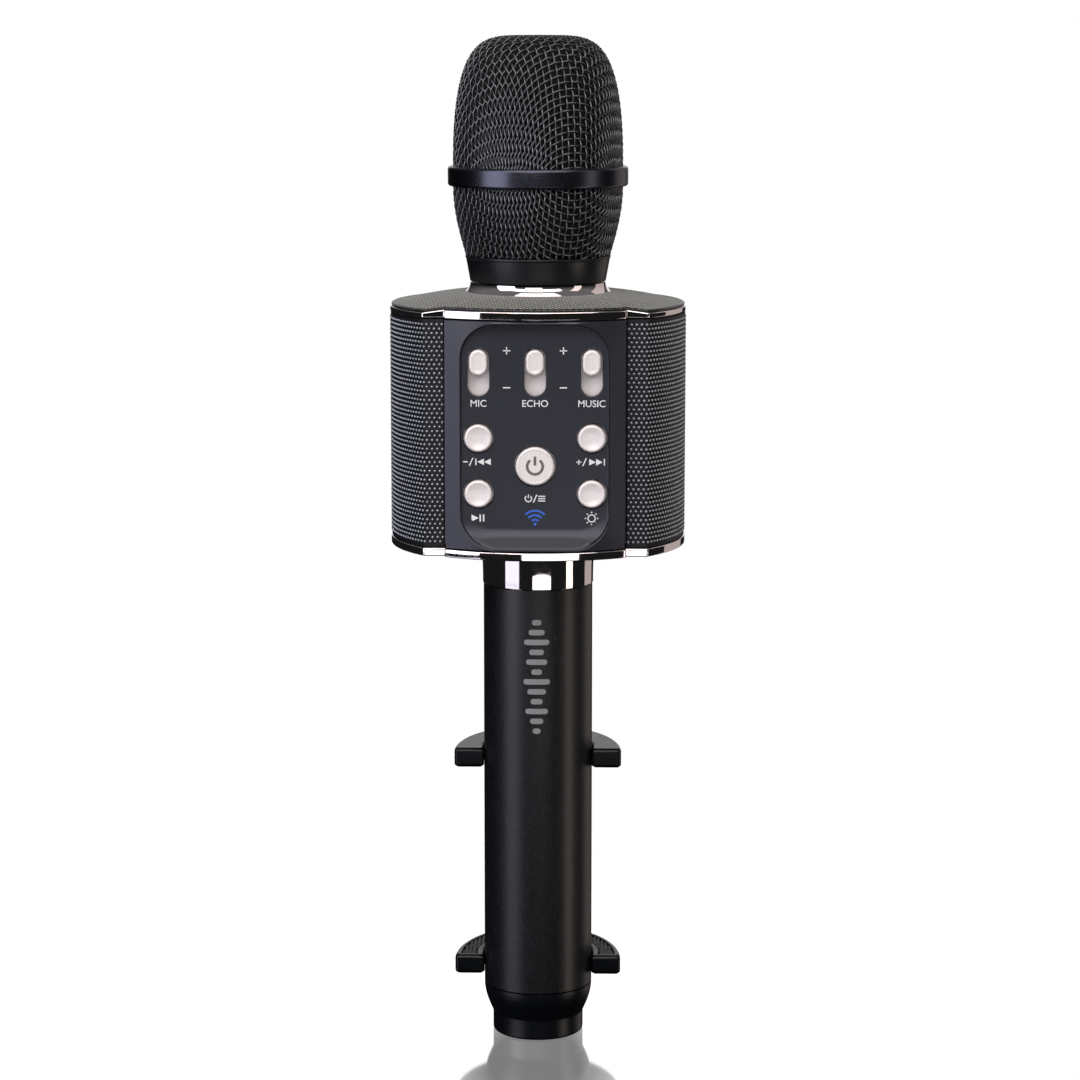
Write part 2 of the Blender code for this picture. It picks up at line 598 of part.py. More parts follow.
def make_grilles():
    """Each side's pierced sheet wraps from the front strip round the side to the rear strip."""
    side, inner_side = math.asin(FLAT_Y / BODY_RADIUS), math.asin((FLAT_Y - GRILLE_WALL) / GRILLE_BORE)
    edge = PANEL_HALF_WIDTH + GAP
    outer = [(edge, -FLAT_Y)] + arc(BODY_RADIUS, -side, side, SIDE_ARC_STEPS) + [(edge, FLAT_Y)]
    inner = [(edge, FLAT_Y - GRILLE_WALL)] + arc(GRILLE_BORE, inner_side, -inner_side, SIDE_ARC_STEPS)
    inner += [(edge, GRILLE_WALL - FLAT_Y)]
    plate("grille_right", [outer + inner], SHELL_Z, SHELL_TOP_Z, "grille_steel")
    plate("grille_left", [outer + inner], SHELL_Z, SHELL_TOP_Z, "grille_steel", turn=(0, 0, math.pi))


def panel_front(inset=0):
    radius = PANEL_RADIUS - inset
    lean = math.asin((PANEL_HALF_WIDTH - inset) / radius)
    return arc(radius, -math.pi / 2 - lean, -math.pi / 2 + lean, PANEL_ARC_STEPS, (0, PANEL_CENTRE_Y))


def panel_sides():
    """The ends of a panel's plan, which reach back past the strips beside it."""
    back, half = -FLAT_Y + GRILLE_WALL, PANEL_HALF_WIDTH
    return [(half, back), (half - PANEL_WALL, back)], [(PANEL_WALL - half, back), (-half, back)]


def make_control_panel():
    right, left = panel_sides()
    inner = [(BOARD_X + GAP, -INNER_Y), (-BOARD_X - GAP, -INNER_Y)]
    plan = panel_front() + right + inner + left
    panel = plate("control_panel", [plan], SHELL_Z, SHELL_TOP_Z, "panel_black")
    height = RECESS_TOP_Z - RECESS_FOOT_Z
    middle = (RECESS_TOP_Z + RECESS_FOOT_Z) / 2
    mouth = rounded_rectangle(2 * RECESS_HALF_WIDTH, height, RECESS_CORNER, 6)
    recess = plate("recess", [mouth], FLOOR_Y, 2 * PANEL_MID_Y - FLOOR_Y, None, at=(0, 0, middle),
                   turn=(math.pi / 2, 0, 0))
    squeeze = (height - RECESS_RAMP) / height
    shift = height / 2 * (1 - squeeze)
    for vertex in recess.data.vertices:
        depth = (vertex.co.z - FLOOR_Y) / RECESS_DEPTH
        scale = squeeze + (1 - squeeze) * depth
        vertex.co.y = vertex.co.y * scale + shift * (1 - depth)
    cutters_here = [recess]
    slot = rounded_rectangle(SLOT_WIDTH, SLOT_LENGTH, SLOT_WIDTH / 2)
    low, high = INNER_Y - 1 * MM, FLOOR_Y + 1 * MM
    for place in (-1, 0, 1):
        cutters_here.append(
            plate(f"slot_{place + 2}", [slot], low, high, None, at=(place * SLIDER_PITCH, 0, SLOT_MID_Z),
                  turn=(math.pi / 2, 0, 0))
        )
    for name, x, z, radius in BUTTONS:
        cutters_here.append(
            plate(name + "_hole", [circle(radius + BUTTON_GAP, 24)], low, high, None, at=(x, 0, z),
                  turn=(math.pi / 2, 0, 0))
        )
    cut(panel, *cutters_here)


def make_sliders():
    """Three slide controls: a knob on a skirt that keeps its slot covered, and the control behind it."""
    lever_end = SWITCH_Y - SWITCH_HEIGHT / 2
    skirt_foot, skirt_top = SLOT_FOOT_Z - SLOT_GAP - KNOB_Z, SLOT_TOP_Z + SLIDER_TRAVEL + SLOT_GAP - KNOB_Z
    skirt_mid = (skirt_foot + skirt_top) / 2
    for place, use in ((-1, "mic"), (0, "echo"), (1, "music")):
        at, turn = (place * SLIDER_PITCH, 0, KNOB_Z), (math.pi / 2, 0, 0)
        skirt = rounded_rectangle(
            SLOT_WIDTH + 2 * SLOT_GAP, skirt_top - skirt_foot, SLOT_GAP, 2, (0, skirt_mid)
        )
        knob = plate("slider_" + use, [skirt], SKIRT_Y - SKIRT, SKIRT_Y, "silver_plastic", at=at, turn=turn)
        grip = rounded_rectangle(KNOB_WIDTH, KNOB_LENGTH, KNOB_WIDTH / 2)
        top = plate("grip_" + use, [grip], SKIRT_Y - SKIRT / 2, FLOOR_Y + KNOB_PROUD, None, at=at, turn=turn)
        lever = rounded_rectangle(LEVER_WIDTH, 2 * LEVER_WIDTH, LEVER_WIDTH / 4, 2)
        stem = plate("lever_" + use, [lever], lever_end, SKIRT_Y - SKIRT / 2, None, at=at, turn=turn)
        combine(knob, "UNION", top, stem)
        case_low, case_high = SWITCH_Y - SWITCH_HEIGHT, SKIRT_Y - SKIRT - GAP
        run = SLIDER_TRAVEL + 2 * LEVER_WIDTH + 2 * SLOT_GAP
        middle = -SLIDER_TRAVEL / 2
        case = rounded_rectangle(KNOB_WIDTH + 2 * MM, run + 6 * MM, 0.5 * MM, 2, (0, middle))
        track = rounded_rectangle(LEVER_WIDTH + 2 * GAP, run, LEVER_WIDTH / 4, 2, (0, middle))
        plate("slide_control_" + use, [case, track], case_low, case_high, "steel", at=at, turn=turn)


def make_buttons():
    """A button's flange is behind the panel, and a small gap is left for its travel to the switch."""
    for name, x, z, radius in BUTTONS:
        top, flange = FLOOR_Y + BUTTON_PROUD, radius + BUTTON_GAP + 0.7 * MM
        chamfer = 0.5 * MM
        turned(
            name,
            [(0, top), (radius - chamfer, top), (radius, top - chamfer), (radius, SKIRT_Y), (flange, SKIRT_Y),
             (flange, SKIRT_Y - SKIRT), (0, SKIRT_Y - SKIRT)],
            "silver_plastic", 20, at=(x, 0, z), turn=(math.pi / 2, 0, 0),
        )
        half = SWITCH_SIZE / 2
        block(
            name.replace("button", "switch"),
            (x - half, -SWITCH_Y, z - half), (x + half, SWITCH_HEIGHT - SWITCH_Y, z + half),
            "steel",
        )


def make_boards():
    low, high = SHELL_Z + BOARD_MARGIN, SHELL_TOP_Z - BOARD_MARGIN
    front = BOARD_THICKNESS - BOARD_Y
    block("control_board", (-BOARD_X, -BOARD_Y, low), (BOARD_X, front, high), "board_green")
    block("main_board", (-BOARD_X, BOARD_Y - BOARD_THICKNESS, low), (BOARD_X, BOARD_Y, high), "board_green")
    rim = GRILLE_BORE - GAP
    lean = math.acos((CORE_X + GAP) / rim)
    crescent = arc(rim, -lean, lean, 10)
    top = SHELL_Z + BOARD_THICKNESS
    plate("led_board_right", [crescent], SHELL_Z, top, "board_green")
    plate("led_board_left", [crescent], SHELL_Z, top, "board_green", turn=(0, 0, math.pi))


def make_core():
    box = block("core_box", (-CORE_X, -CORE_Y, SHELL_Z), (CORE_X, CORE_Y, SHELL_TOP_Z), "black_plastic")
    wall = CORE_WALL
    hollow = block(
        "core_hollow",
        (wall - CORE_X, wall - CORE_Y, SHELL_Z + wall), (CORE_X - wall, CORE_Y - wall, SHELL_TOP_Z - wall),
        None,
    )
    bore = BASKET_RADIUS + GAP
    reach = CORE_X + 1 * MM
    drivers = turned(
        "driver_holes", [(0, reach), (bore, reach), (bore, -reach), (0, -reach)], None, MID_STEPS,
        at=(0, 0, DRIVER_Z), turn=(0, math.pi / 2, 0),
    )
    low, high = SHELL_Z - 1 * MM, SHELL_TOP_Z + 1 * MM
    wires = plate("wire_holes", [circle(WIRE_BORE, 20)], low, high, None)
    screw_hole = circle(BODY_SCREW_RADIUS + GAP, SMALL_STEPS)
    screws = [
        plate(f"core_screw_hole_{side}", [screw_hole], low, SHELL_Z + wall + 1 * MM, None, at=(x, 0, 0))
        for side, x in (("left", -BODY_SCREW_X), ("right", BODY_SCREW_X))
    ]
    cut(box, hollow, drivers, wires, *screws)


def make_drivers():
    """A basket with its magnet behind, and the cone in front. Height 0 is the outer face of the core box."""
    lip, back = BASKET_RADIUS - 1.2 * MM, -DRIVER_DEPTH
    basket = [
        (0, -6.5 * MM), (5 * MM, -6.5 * MM), (lip, 0.2 * MM), (lip, FLANGE), (DRIVER_RADIUS, FLANGE),
        (DRIVER_RADIUS, 0), (BASKET_RADIUS, 0), (BASKET_RADIUS, -FLANGE), (MAGNET_RADIUS, -8.5 * MM),
        (MAGNET_RADIUS, back), (0, back),
    ]
    rim = lip - GAP
    cone = [
        (0, -4.4 * MM), (4.6 * MM, -5.4 * MM), (rim - 1 * MM, 0.9 * MM), (rim, 1.3 * MM), (rim, 0.6 * MM),
        (5.2 * MM, -6 * MM), (0, -6 * MM),
    ]
    for side, sign in (("right", 1), ("left", -1)):
        at, turn = (sign * (CORE_X + GAP), 0, DRIVER_Z), (0, sign * math.pi / 2, 0)
        turned("driver_basket_" + side, basket, "black_plastic", MID_STEPS, at=at, turn=turn)
        turned("driver_cone_" + side, cone, "paper_cone", MID_STEPS, at=at, turn=turn)


def make_back_panel():
    right, left = panel_sides()
    inner = [(x, y) for x, y in reversed(panel_front(PANEL_WALL))]
    plan = panel_front() + [right[0], right[1]] + inner + [left[0], left[1]]
    around = (0, 0, math.pi)
    panel = plate("back_panel", [plan], SHELL_Z, SHELL_TOP_Z, "panel_black", turn=around)
    level = SHELL_Z + SOCKET_HEIGHT
    deep, far = BOARD_Y + GAP, PANEL_MID_Y - PANEL_WALL - GAP
    facing = (math.pi / 2, 0, math.pi)
    low, high = PANEL_EDGE_Y - 2 * MM, PANEL_MID_Y + 1 * MM
    sockets = (
        ("usb_socket", 0, USB_SIZE, far),
        ("card_socket", SOCKET_SPREAD, CARD_SIZE, PANEL_EDGE_Y + 1 * MM),
    )
    for name, x, (width, height), mouth in sockets:
        shell = rounded_rectangle(width, height, height / 3)
        bore = rounded_rectangle(width - 2 * SOCKET_WALL, height - 2 * SOCKET_WALL, height / 3 - SOCKET_WALL)
        plate(name, [shell, bore], deep, mouth, "steel", at=(x, 0, level), turn=facing)
        opening = rounded_rectangle(width + 2 * GAP, height + 2 * GAP, height / 3)
        cut(panel, plate(name + "_opening", [opening], low, high, None, at=(x, 0, level), turn=facing))
    jack_x = -SOCKET_SPREAD
    face = PANEL_MID_Y - PANEL_WALL - 1 * MM
    plate("audio_socket", [circle(JACK_RADIUS, SMALL_STEPS), circle(JACK_BORE, SMALL_STEPS)], deep, face,
          "black_plastic", at=(jack_x, 0, level), turn=facing)
    cut(panel, plate("jack_opening", [circle(JACK_RADIUS + GAP, SMALL_STEPS)], low, high, None,
                     at=(jack_x, 0, level), turn=facing))


def lower_mesh_radius(height):
    """Radius of the lower mesh at a height above its foot: it swells from the ring to the band."""
    foot = NECK_RADIUS + HEAD_RING_FLARE
    return foot + (HEAD_RADIUS - foot) * math.sin(height / LOWER_MESH_HEIGHT * math.pi / 2)


def dome_profile(radius, height, steps):
    """Points down the side of the dome, from beside its crown to its foot at height 0."""
    angles = [math.pi / 2 * (1 - i / steps) for i in range(1, steps + 1)]
    return [
        (radius * math.cos(a) ** (2 / DOME_SIDE_POWER), height * math.sin(a) ** (2 / DOME_RISE_POWER))
        for a in angles
    ]


def make_head():
    inner = NECK_SLEEVE - NECK_WALL
    turned(
        "neck_ring",
        [(NECK_RADIUS, NECK_TOP_Z), (NECK_RADIUS + NECK_FLARE / 5, NECK_TOP_Z - NECK_HEIGHT / 2),
         (NECK_RADIUS + NECK_FLARE, NECK_Z), (NECK_SLEEVE, NECK_Z), (NECK_SLEEVE, SHELL_TOP_Z + GAP),
         (inner, SHELL_TOP_Z + GAP), (inner, NECK_TOP_Z)],
        "mirror_chrome", BODY_STEPS,
    )
    ring_top, ring_bore = HEAD_RING_Z + HEAD_RING_HEIGHT, CARRIER_RADIUS + 1.4 * MM
    foot = NECK_RADIUS + HEAD_RING_FLARE
    turned(
        "head_base_ring",
        [(foot, ring_top), (foot, ring_top - 0.6 * MM), (NECK_RADIUS, HEAD_RING_Z), (ring_bore, HEAD_RING_Z),
         (ring_bore, ring_top)],
        "satin_black_paint", BODY_STEPS,
    )
    levels = [LOWER_MESH_HEIGHT * i / 5 for i in range(6)]
    outside = [(lower_mesh_radius(h), LOWER_MESH_Z + h) for h in reversed(levels)]
    inside = [(lower_mesh_radius(h) - MESH_WALL, LOWER_MESH_Z + h) for h in levels]
    turned("head_mesh_lower", outside + inside, "black_wire", BODY_STEPS)
    band_top, bore, edge = BAND_Z + BAND_HEIGHT, BAND_RADIUS - BAND_WALL, 0.5 * MM
    turned(
        "head_band",
        [(BAND_RADIUS - edge, band_top), (BAND_RADIUS, band_top - edge), (BAND_RADIUS, BAND_Z + edge),
         (BAND_RADIUS - edge, BAND_Z), (bore, BAND_Z), (bore, band_top)],
        "satin_black_paint", BODY_STEPS,
    )
    outside = [(0, DOME_HEIGHT)] + dome_profile(HEAD_RADIUS, DOME_HEIGHT, 10)
    inside = dome_profile(HEAD_RADIUS - MESH_WALL, DOME_HEIGHT - MESH_WALL, 7)[::-1]
    inside.append((0, DOME_HEIGHT - MESH_WALL))
    shell = [(r, DOME_Z + h) for r, h in outside + inside]
    turned("head_mesh_upper", shell, "black_wire", BODY_STEPS)


def make_head_inside():
    bore = BAND_RADIUS - BAND_WALL - GAP
    skin = MESH_WALL + GAP
    crown = [(0, DOME_HEIGHT - skin)] + dome_profile(bore, DOME_HEIGHT - skin, 7)
    low = [(min(bore, lower_mesh_radius(h) - skin), LOWER_MESH_Z + h)
           for h in (LOWER_MESH_HEIGHT, LOWER_MESH_HEIGHT / 2, 1 * MM)]
    hole = CARRIER_RADIUS + 1 * MM
    inside = dome_profile(hole, DOME_HEIGHT - skin - FOAM_WALL, 5)[::-1]
    inside.append((0, DOME_HEIGHT - skin - FOAM_WALL))
    turned(
        "windscreen_foam",
        [(r, DOME_Z + h) for r, h in crown] + low + [(hole, LOWER_MESH_Z + 1 * MM)]
        + [(r, DOME_Z + h) for r, h in inside],
        "foam", MID_STEPS,
    )
    carrier_z, carrier_top = HEAD_RING_Z + GAP, BAND_Z + 1 * MM
    carrier_bore, flange = CARRIER_RADIUS - CARRIER_WALL, CARRIER_RADIUS + 1.1 * MM
    turned(
        "capsule_carrier",
        [(CARRIER_RADIUS, carrier_top), (CARRIER_RADIUS, carrier_z + 2 * MM), (flange, carrier_z + 2 * MM),
         (flange, carrier_z), (carrier_bore, carrier_z), (carrier_bore, carrier_top)],
        "black_plastic", MID_STEPS,
    )
    mount_z, mount_height = carrier_top + GAP, 4.5 * MM
    turned(
        "capsule_shock_mount",
        [(CARRIER_RADIUS, mount_z + mount_height), (CARRIER_RADIUS, mount_z),
         (CAPSULE_RADIUS + GAP, mount_z), (CAPSULE_RADIUS + GAP, mount_z + mount_height)],
        "grey_rubber", MID_STEPS,
    )
    top, lip = mount_z + CAPSULE_HEIGHT, 1 * MM
    turned(
        "capsule",
        [(0, top), (CAPSULE_RADIUS - lip, top), (CAPSULE_RADIUS, top - lip), (CAPSULE_RADIUS, mount_z),
         (0, mount_z)],
        "brass", MID_STEPS,
    )


for old in list(bpy.data.objects):
    bpy.data.objects.remove(old)
parts = collection("karaoke_microphone")
cutters = collection("cutters")

make_handle()
make_battery()
make_lower_jaw()
make_upper_jaw()
make_body_ends()
make_grilles()
make_control_panel()
make_sliders()
make_buttons()
make_boards()
make_core()
make_drivers()
make_back_panel()
make_head()
make_head_inside()
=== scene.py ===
"""Looks of a karaoke microphone: woven head, studded speaker sides, control panel, chrome and phone clamp.

Metres, +Z up. The controls face -Y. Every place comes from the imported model's boxes.
"""

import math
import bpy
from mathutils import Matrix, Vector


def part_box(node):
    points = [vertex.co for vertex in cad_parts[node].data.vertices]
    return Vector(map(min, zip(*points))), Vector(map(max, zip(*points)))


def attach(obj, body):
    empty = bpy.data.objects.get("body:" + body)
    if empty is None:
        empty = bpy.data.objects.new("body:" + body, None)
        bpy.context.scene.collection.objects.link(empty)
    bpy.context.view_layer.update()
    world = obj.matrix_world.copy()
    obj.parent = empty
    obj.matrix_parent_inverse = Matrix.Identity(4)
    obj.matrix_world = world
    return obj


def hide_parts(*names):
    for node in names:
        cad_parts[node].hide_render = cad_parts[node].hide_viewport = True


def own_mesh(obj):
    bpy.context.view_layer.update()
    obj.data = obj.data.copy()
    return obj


bl_info = {
    "name": "Karaoke Microphone Looks",
    "version": (1, 0, 0),
    "blender": (4, 5, 0),
    "location": "View3D > Sidebar > Microphone",
    "description": "Builds the fine shells, wire nets, legends and finishes of a karaoke microphone",
    "category": "Add Mesh",
}

import bmesh
import bpy
import numpy as np
from bpy.props import FloatProperty, FloatVectorProperty, IntProperty, PointerProperty
from mathutils import Matrix, Vector

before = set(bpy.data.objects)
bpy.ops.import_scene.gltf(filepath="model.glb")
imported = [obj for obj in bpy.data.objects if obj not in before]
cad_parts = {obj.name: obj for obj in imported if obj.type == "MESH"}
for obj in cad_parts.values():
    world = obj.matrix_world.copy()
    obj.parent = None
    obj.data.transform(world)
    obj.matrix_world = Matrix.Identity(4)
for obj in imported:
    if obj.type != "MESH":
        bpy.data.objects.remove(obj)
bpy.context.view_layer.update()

MM = 0.001
PROUD = 0.03 * MM  # how far printed ink stands out
TUCK = 0.6 * MM  # how far a hidden edge runs on inside its neighbour
FINE = 96  # steps round a large turned piece
SMALL = 40  # steps round a button or a screw
SHARP = math.radians(32)


def low(node, axis):
    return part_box(node)[0]["xyz".index(axis)]


def high(node, axis):
    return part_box(node)[1]["xyz".index(axis)]


# Places across the body, from the frame
BODY_RADIUS = high("top_trim", "x")
FLAT_Y = high("grille_right", "y")
PANEL_HALF = high("control_panel", "x")
PANEL_MID_Y = high("back_panel", "y")
PANEL_EDGE_Y = FLAT_Y + 1.8 * MM
PANEL_SAG = PANEL_MID_Y - PANEL_EDGE_Y
PANEL_RADIUS = (PANEL_HALF**2 + PANEL_SAG**2) / (2 * PANEL_SAG)
PANEL_CENTRE_Y = PANEL_RADIUS - PANEL_MID_Y
STRIP_EDGE = math.sqrt(BODY_RADIUS**2 - FLAT_Y**2)
GRILLE_WALL = 1.2 * MM
SHELL_Z = low("control_panel", "z")
SHELL_TOP_Z = high("control_panel", "z")
FLOOR_Y = -(PANEL_MID_Y - 4.8 * MM)
BUTTONS = ("previous", "next", "power", "play", "light")
SLIDERS = ("mic", "echo", "music")


# Meshes


def ring_of(work, points):
    """Closed loop of edges through the points, without the doubles where arcs meet."""
    points = [Vector(point) for point in points]
    apart = [one for one, two in zip(points, points[1:] + points[:1]) if (one - two).length > 0.002 * MM]
    verts = [work.verts.new(point) for point in apart]
    return [work.edges.new(pair) for pair in zip(verts, verts[1:] + verts[:1])]


def bridged(work, rings):
    """Skin from ring to ring; rings of one length are joined step by step, so they can't twist."""
    for one, two in zip(rings, rings[1:]):
        if len(one) != len(two):
            bmesh.ops.bridge_loops(work, edges=one + two)
            continue
        for near, far in zip(one, two):
            bmesh.ops.contextual_create(work, geom=[near, far])


def stacked(work, outline, levels, first=True, last=True):
    """Skin through one outline at several (inset, height) levels, with its two ends filled."""
    rings = [ring_of(work, [(x, y, height) for x, y in outline(inset)]) for inset, height in levels]
    bridged(work, rings)
    for ring, wanted in ((rings[0], first), (rings[-1], last)):
        if wanted:
            bmesh.ops.contextual_create(work, geom=ring)
    return rings


def turned(profile, steps=FINE, soft=0, place=None):
    """Closed (radius, height) profile spun about Z, its sharp edges rounded by a width."""
    work = bmesh.new()
    verts = [work.verts.new((radius, 0, height)) for radius, height in profile]
    edges = [work.edges.new(pair) for pair in zip(verts, verts[1:])]
    if profile[0][0] > 0:
        edges.append(work.edges.new((verts[-1], verts[0])))
    bmesh.ops.spin(
        work, geom=verts + edges, cent=(0, 0, 0), axis=(0, 0, 1), angle=math.tau, steps=steps, use_merge=True
    )
    tidy(work)
    if soft:
        soften(work, soft)
    if place:
        work.transform(place)
    return work


def tidy(work):
    bmesh.ops.remove_doubles(work, verts=work.verts, dist=0.001 * MM)
    bmesh.ops.recalc_face_normals(work, faces=work.faces)


def soften(work, width, segments=3, choose=None):
    """Rounds the sharp edges, or those of them that a test chooses."""
    sharp = [e for e in work.edges if len(e.link_faces) == 2 and e.calc_face_angle(0) > SHARP]
    if choose:
        sharp = [e for e in sharp if choose((e.verts[0].co + e.verts[1].co) / 2)]
    bmesh.ops.bevel(
        work, geom=sharp, offset=width, offset_type="OFFSET", segments=segments, profile=0.5,
        affect="EDGES", clamp_overlap=True, material=-1,
    )


def box_of(work, start, end):
    """Closed box between two corners."""
    made = bmesh.ops.create_cube(work, size=1)["verts"]
    start, end = Vector(start), Vector(end)
    bmesh.ops.scale(work, vec=end - start, verts=made)
    bmesh.ops.translate(work, vec=(start + end) / 2, verts=made)
    return made


def drawn(name, work):
    mesh = bpy.data.meshes.new(name)
    work.to_mesh(mesh)
    work.free()
    made = bpy.data.objects.new(name, mesh)
    bpy.context.scene.collection.objects.link(made)
    return made


def evaluated(made):
    """The object's mesh with its modifiers applied, as a bmesh; the object is removed."""
    seen = made.evaluated_get(bpy.context.evaluated_depsgraph_get())
    mesh = bpy.data.meshes.new_from_object(seen)
    work = bmesh.new()
    work.from_mesh(mesh)
    bpy.data.meshes.remove(mesh)
    bpy.data.objects.remove(made)
    return work


def carved(work, *cutters):
    """The shape less its cutters."""
    blank = drawn("blank", work)
    tools = [drawn("cutter", cutter) for cutter in cutters]
    for tool in tools:
        modifier = blank.modifiers.new("Cut", "BOOLEAN")
        modifier.object, modifier.solver = tool, "MANIFOLD"
    bpy.context.view_layer.update()
    work = evaluated(blank)
    for tool in tools:
        bpy.data.objects.remove(tool)
    if not work.faces:
        raise RuntimeError("the cut left nothing")
    return work


def tube_of(paths, radius, resolution):
    """Round wires along lists of points, with closed ends."""
    curve = bpy.data.curves.new("wires", "CURVE")
    curve.dimensions = "3D"
    curve.bevel_depth = radius
    curve.bevel_resolution = resolution
    curve.use_fill_caps = True
    for path in paths:
        spline = curve.splines.new("POLY")
        spline.points.add(len(path) - 1)
        spline.points.foreach_set("co", [value for x, y, z in path for value in (x, y, z, 1)])
    made = bpy.data.objects.new("wires", curve)
    bpy.context.scene.collection.objects.link(made)
    bpy.context.view_layer.update()
    work = evaluated(made)
    bpy.data.curves.remove(curve)
    tidy(work)
    return work


def piece(name, work, finish, *nodes, body="microphone", slot=None, crease=SHARP):
    """A finished piece that rides on a body and stands for CAD nodes.

    Its wide faces keep their own shading beside narrow bevels, unless it has no creases.
    """
    made = drawn(name, work)
    made.data.shade_smooth()
    if crease:
        made.data.set_sharp_from_angle(angle=crease)
        evener = made.modifiers.new("Even", "WEIGHTED_NORMAL")
        evener.keep_sharp = True
    made.data.materials.append(finished(finish))
    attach(made, body)
    if nodes:
        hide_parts(*nodes)
    return made


def fillet(radius, steps=4):
    """(inset, drop) pairs round a quarter circle, from the side of an edge to its top."""
    angles = [math.pi / 2 * i / steps for i in range(steps + 1)]
    return [(radius * (1 - math.cos(a)), radius * (1 - math.sin(a))) for a in angles]


def slab_levels(bottom, top, radius):
    """Levels of a slab with rounded edges, from the middle of its underside up."""
    under = [(inset, bottom + drop) for inset, drop in reversed(fillet(radius))]
    return under + [(inset, top - drop) for inset, drop in fillet(radius)]


# Outlines


def arc(radius, start, end, steps, centre=(0, 0)):
    angles = [start + (end - start) * i / steps for i in range(steps + 1)]
    return [(centre[0] + radius * math.cos(a), centre[1] + radius * math.sin(a)) for a in angles]


def rounded(width, height, corner, steps=8, centre=(0, 0)):
    points = []
    for quarter, (sx, sy) in enumerate(((1, 1), (-1, 1), (-1, -1), (1, -1))):
        middle = (centre[0] + sx * (width / 2 - corner), centre[1] + sy * (height / 2 - corner))
        points += arc(corner, quarter * math.pi / 2, (quarter + 1) * math.pi / 2, steps, middle)
    return points


def panel_arc(inset, steps=48):
    """The rear panel's outer curve, from right to left."""
    radius = PANEL_RADIUS - inset
    lean = math.asin((PANEL_HALF - inset) / radius)
    return arc(radius, math.pi / 2 - lean, math.pi / 2 + lean, steps, (0, -PANEL_CENTRE_Y))


def body_outline(inset):
    radius, flat, half = BODY_RADIUS - inset, FLAT_Y - inset, PANEL_HALF - inset
    side = math.asin(flat / radius)
    points = arc(radius, -side, side, 48) + [(half, flat)] + panel_arc(inset) + [(-half, flat)]
    return points + [(-x, -y) for x, y in points]


def strip_share(x):
    """0 at the panels, 1 at the sides, and a ramp across the strip between them."""
    return min(1, max(0, (abs(x) - PANEL_HALF) / (STRIP_EDGE - PANEL_HALF)))


JAW_BACK = 64  # steps round a jaw's back
JAW_CURL = 40  # steps along its bore


def jaw_outline(inset):
    """A jaw's plan: flat front, deep round back and a bore that hugs the handle."""
    front, bore = inset + low("jaw_lower", "y"), high("handle_tube", "x") + 0.3 * MM + inset
    wide, deep = high("jaw_lower", "x") - inset, high("jaw_lower", "y") - low("jaw_lower", "y") - 2 * inset
    angles = [math.pi * i / JAW_BACK for i in range(JAW_BACK + 1)]
    back = [(wide * math.cos(a), front + deep * math.sin(a)) for a in angles]
    lean = math.asin(-front / bore)
    return back + arc(bore, math.pi + lean, -lean, JAW_CURL)


def facing_front(x, z):
    """Turns a shape drawn flat, with its height as depth, to face -Y at a place on the panel."""
    return Matrix.Translation((x, 0, z)) @ Matrix.Rotation(math.pi / 2, 4, "X")


# Materials


def linear(code):
    """An sRGB hex colour as linear RGBA."""
    values = [int(code[i : i + 2], 16) / 255 for i in (0, 2, 4)]
    return (*[v / 12.92 if v <= 0.04045 else ((v + 0.055) / 1.055) ** 2.4 for v in values], 1.0)


def add(tree, kind, inputs=None, **settings):
    """A node with its settings; each input is a value or the socket that feeds it."""
    made = tree.nodes.new(kind)
    for key, value in settings.items():
        setattr(made, key, value)
    for key, value in (inputs or {}).items():
        if isinstance(value, bpy.types.NodeSocket):
            tree.links.new(value, made.inputs[key])
        else:
            made.inputs[key].default_value = value
    return made


def surface(name, colour, roughness, metallic=0.0, **sockets):
    """A material with its shader, its tree and the object coordinates."""
    made = bpy.data.materials.new(name)
    made.use_nodes = True
    tree = made.node_tree
    shader = tree.nodes["Principled BSDF"]
    shader.inputs["Base Color"].default_value = linear(colour)
    shader.inputs["Roughness"].default_value = roughness
    shader.inputs["Metallic"].default_value = metallic
    for key, value in sockets.items():
        shader.inputs[key.replace("_", " ")].default_value = value
    return made, tree, shader, add(tree, "ShaderNodeTexCoord").outputs["Object"]


def roughened(tree, shader, place, grain, spread, depth=0.0, detail=3.0):
    """Uneven gloss, and a bump where a depth is given, from a noise with grains of a real size."""
    noise = add(tree, "ShaderNodeTexNoise", {"Vector": place, "Scale": 1 / grain, "Detail": detail})
    gloss = shader.inputs["Roughness"].default_value
    level = add(
        tree, "ShaderNodeMapRange",
        {"Value": noise.outputs["Fac"], "From Min": 0.3, "From Max": 0.7, "To Min": gloss - spread,
         "To Max": gloss + spread},
    )
    tree.links.new(level.outputs["Result"], shader.inputs["Roughness"])
    if depth:
        bump = add(
            tree, "ShaderNodeBump", {"Height": noise.outputs["Fac"], "Distance": depth, "Strength": 1.0}
        )
        tree.links.new(bump.outputs["Normal"], shader.inputs["Normal"])
    return noise.outputs["Fac"]


def tinted(tree, shader, share, dark, light):
    """Base colour between two hex colours."""
    mix = add(tree, "ShaderNodeMix", {"Factor": share}, data_type="RGBA")
    first, second = (socket for socket in mix.inputs if socket.type == "RGBA")
    first.default_value, second.default_value = linear(dark), linear(light)
    made = next(socket for socket in mix.outputs if socket.type == "RGBA")
    tree.links.new(made, shader.inputs["Base Color"])


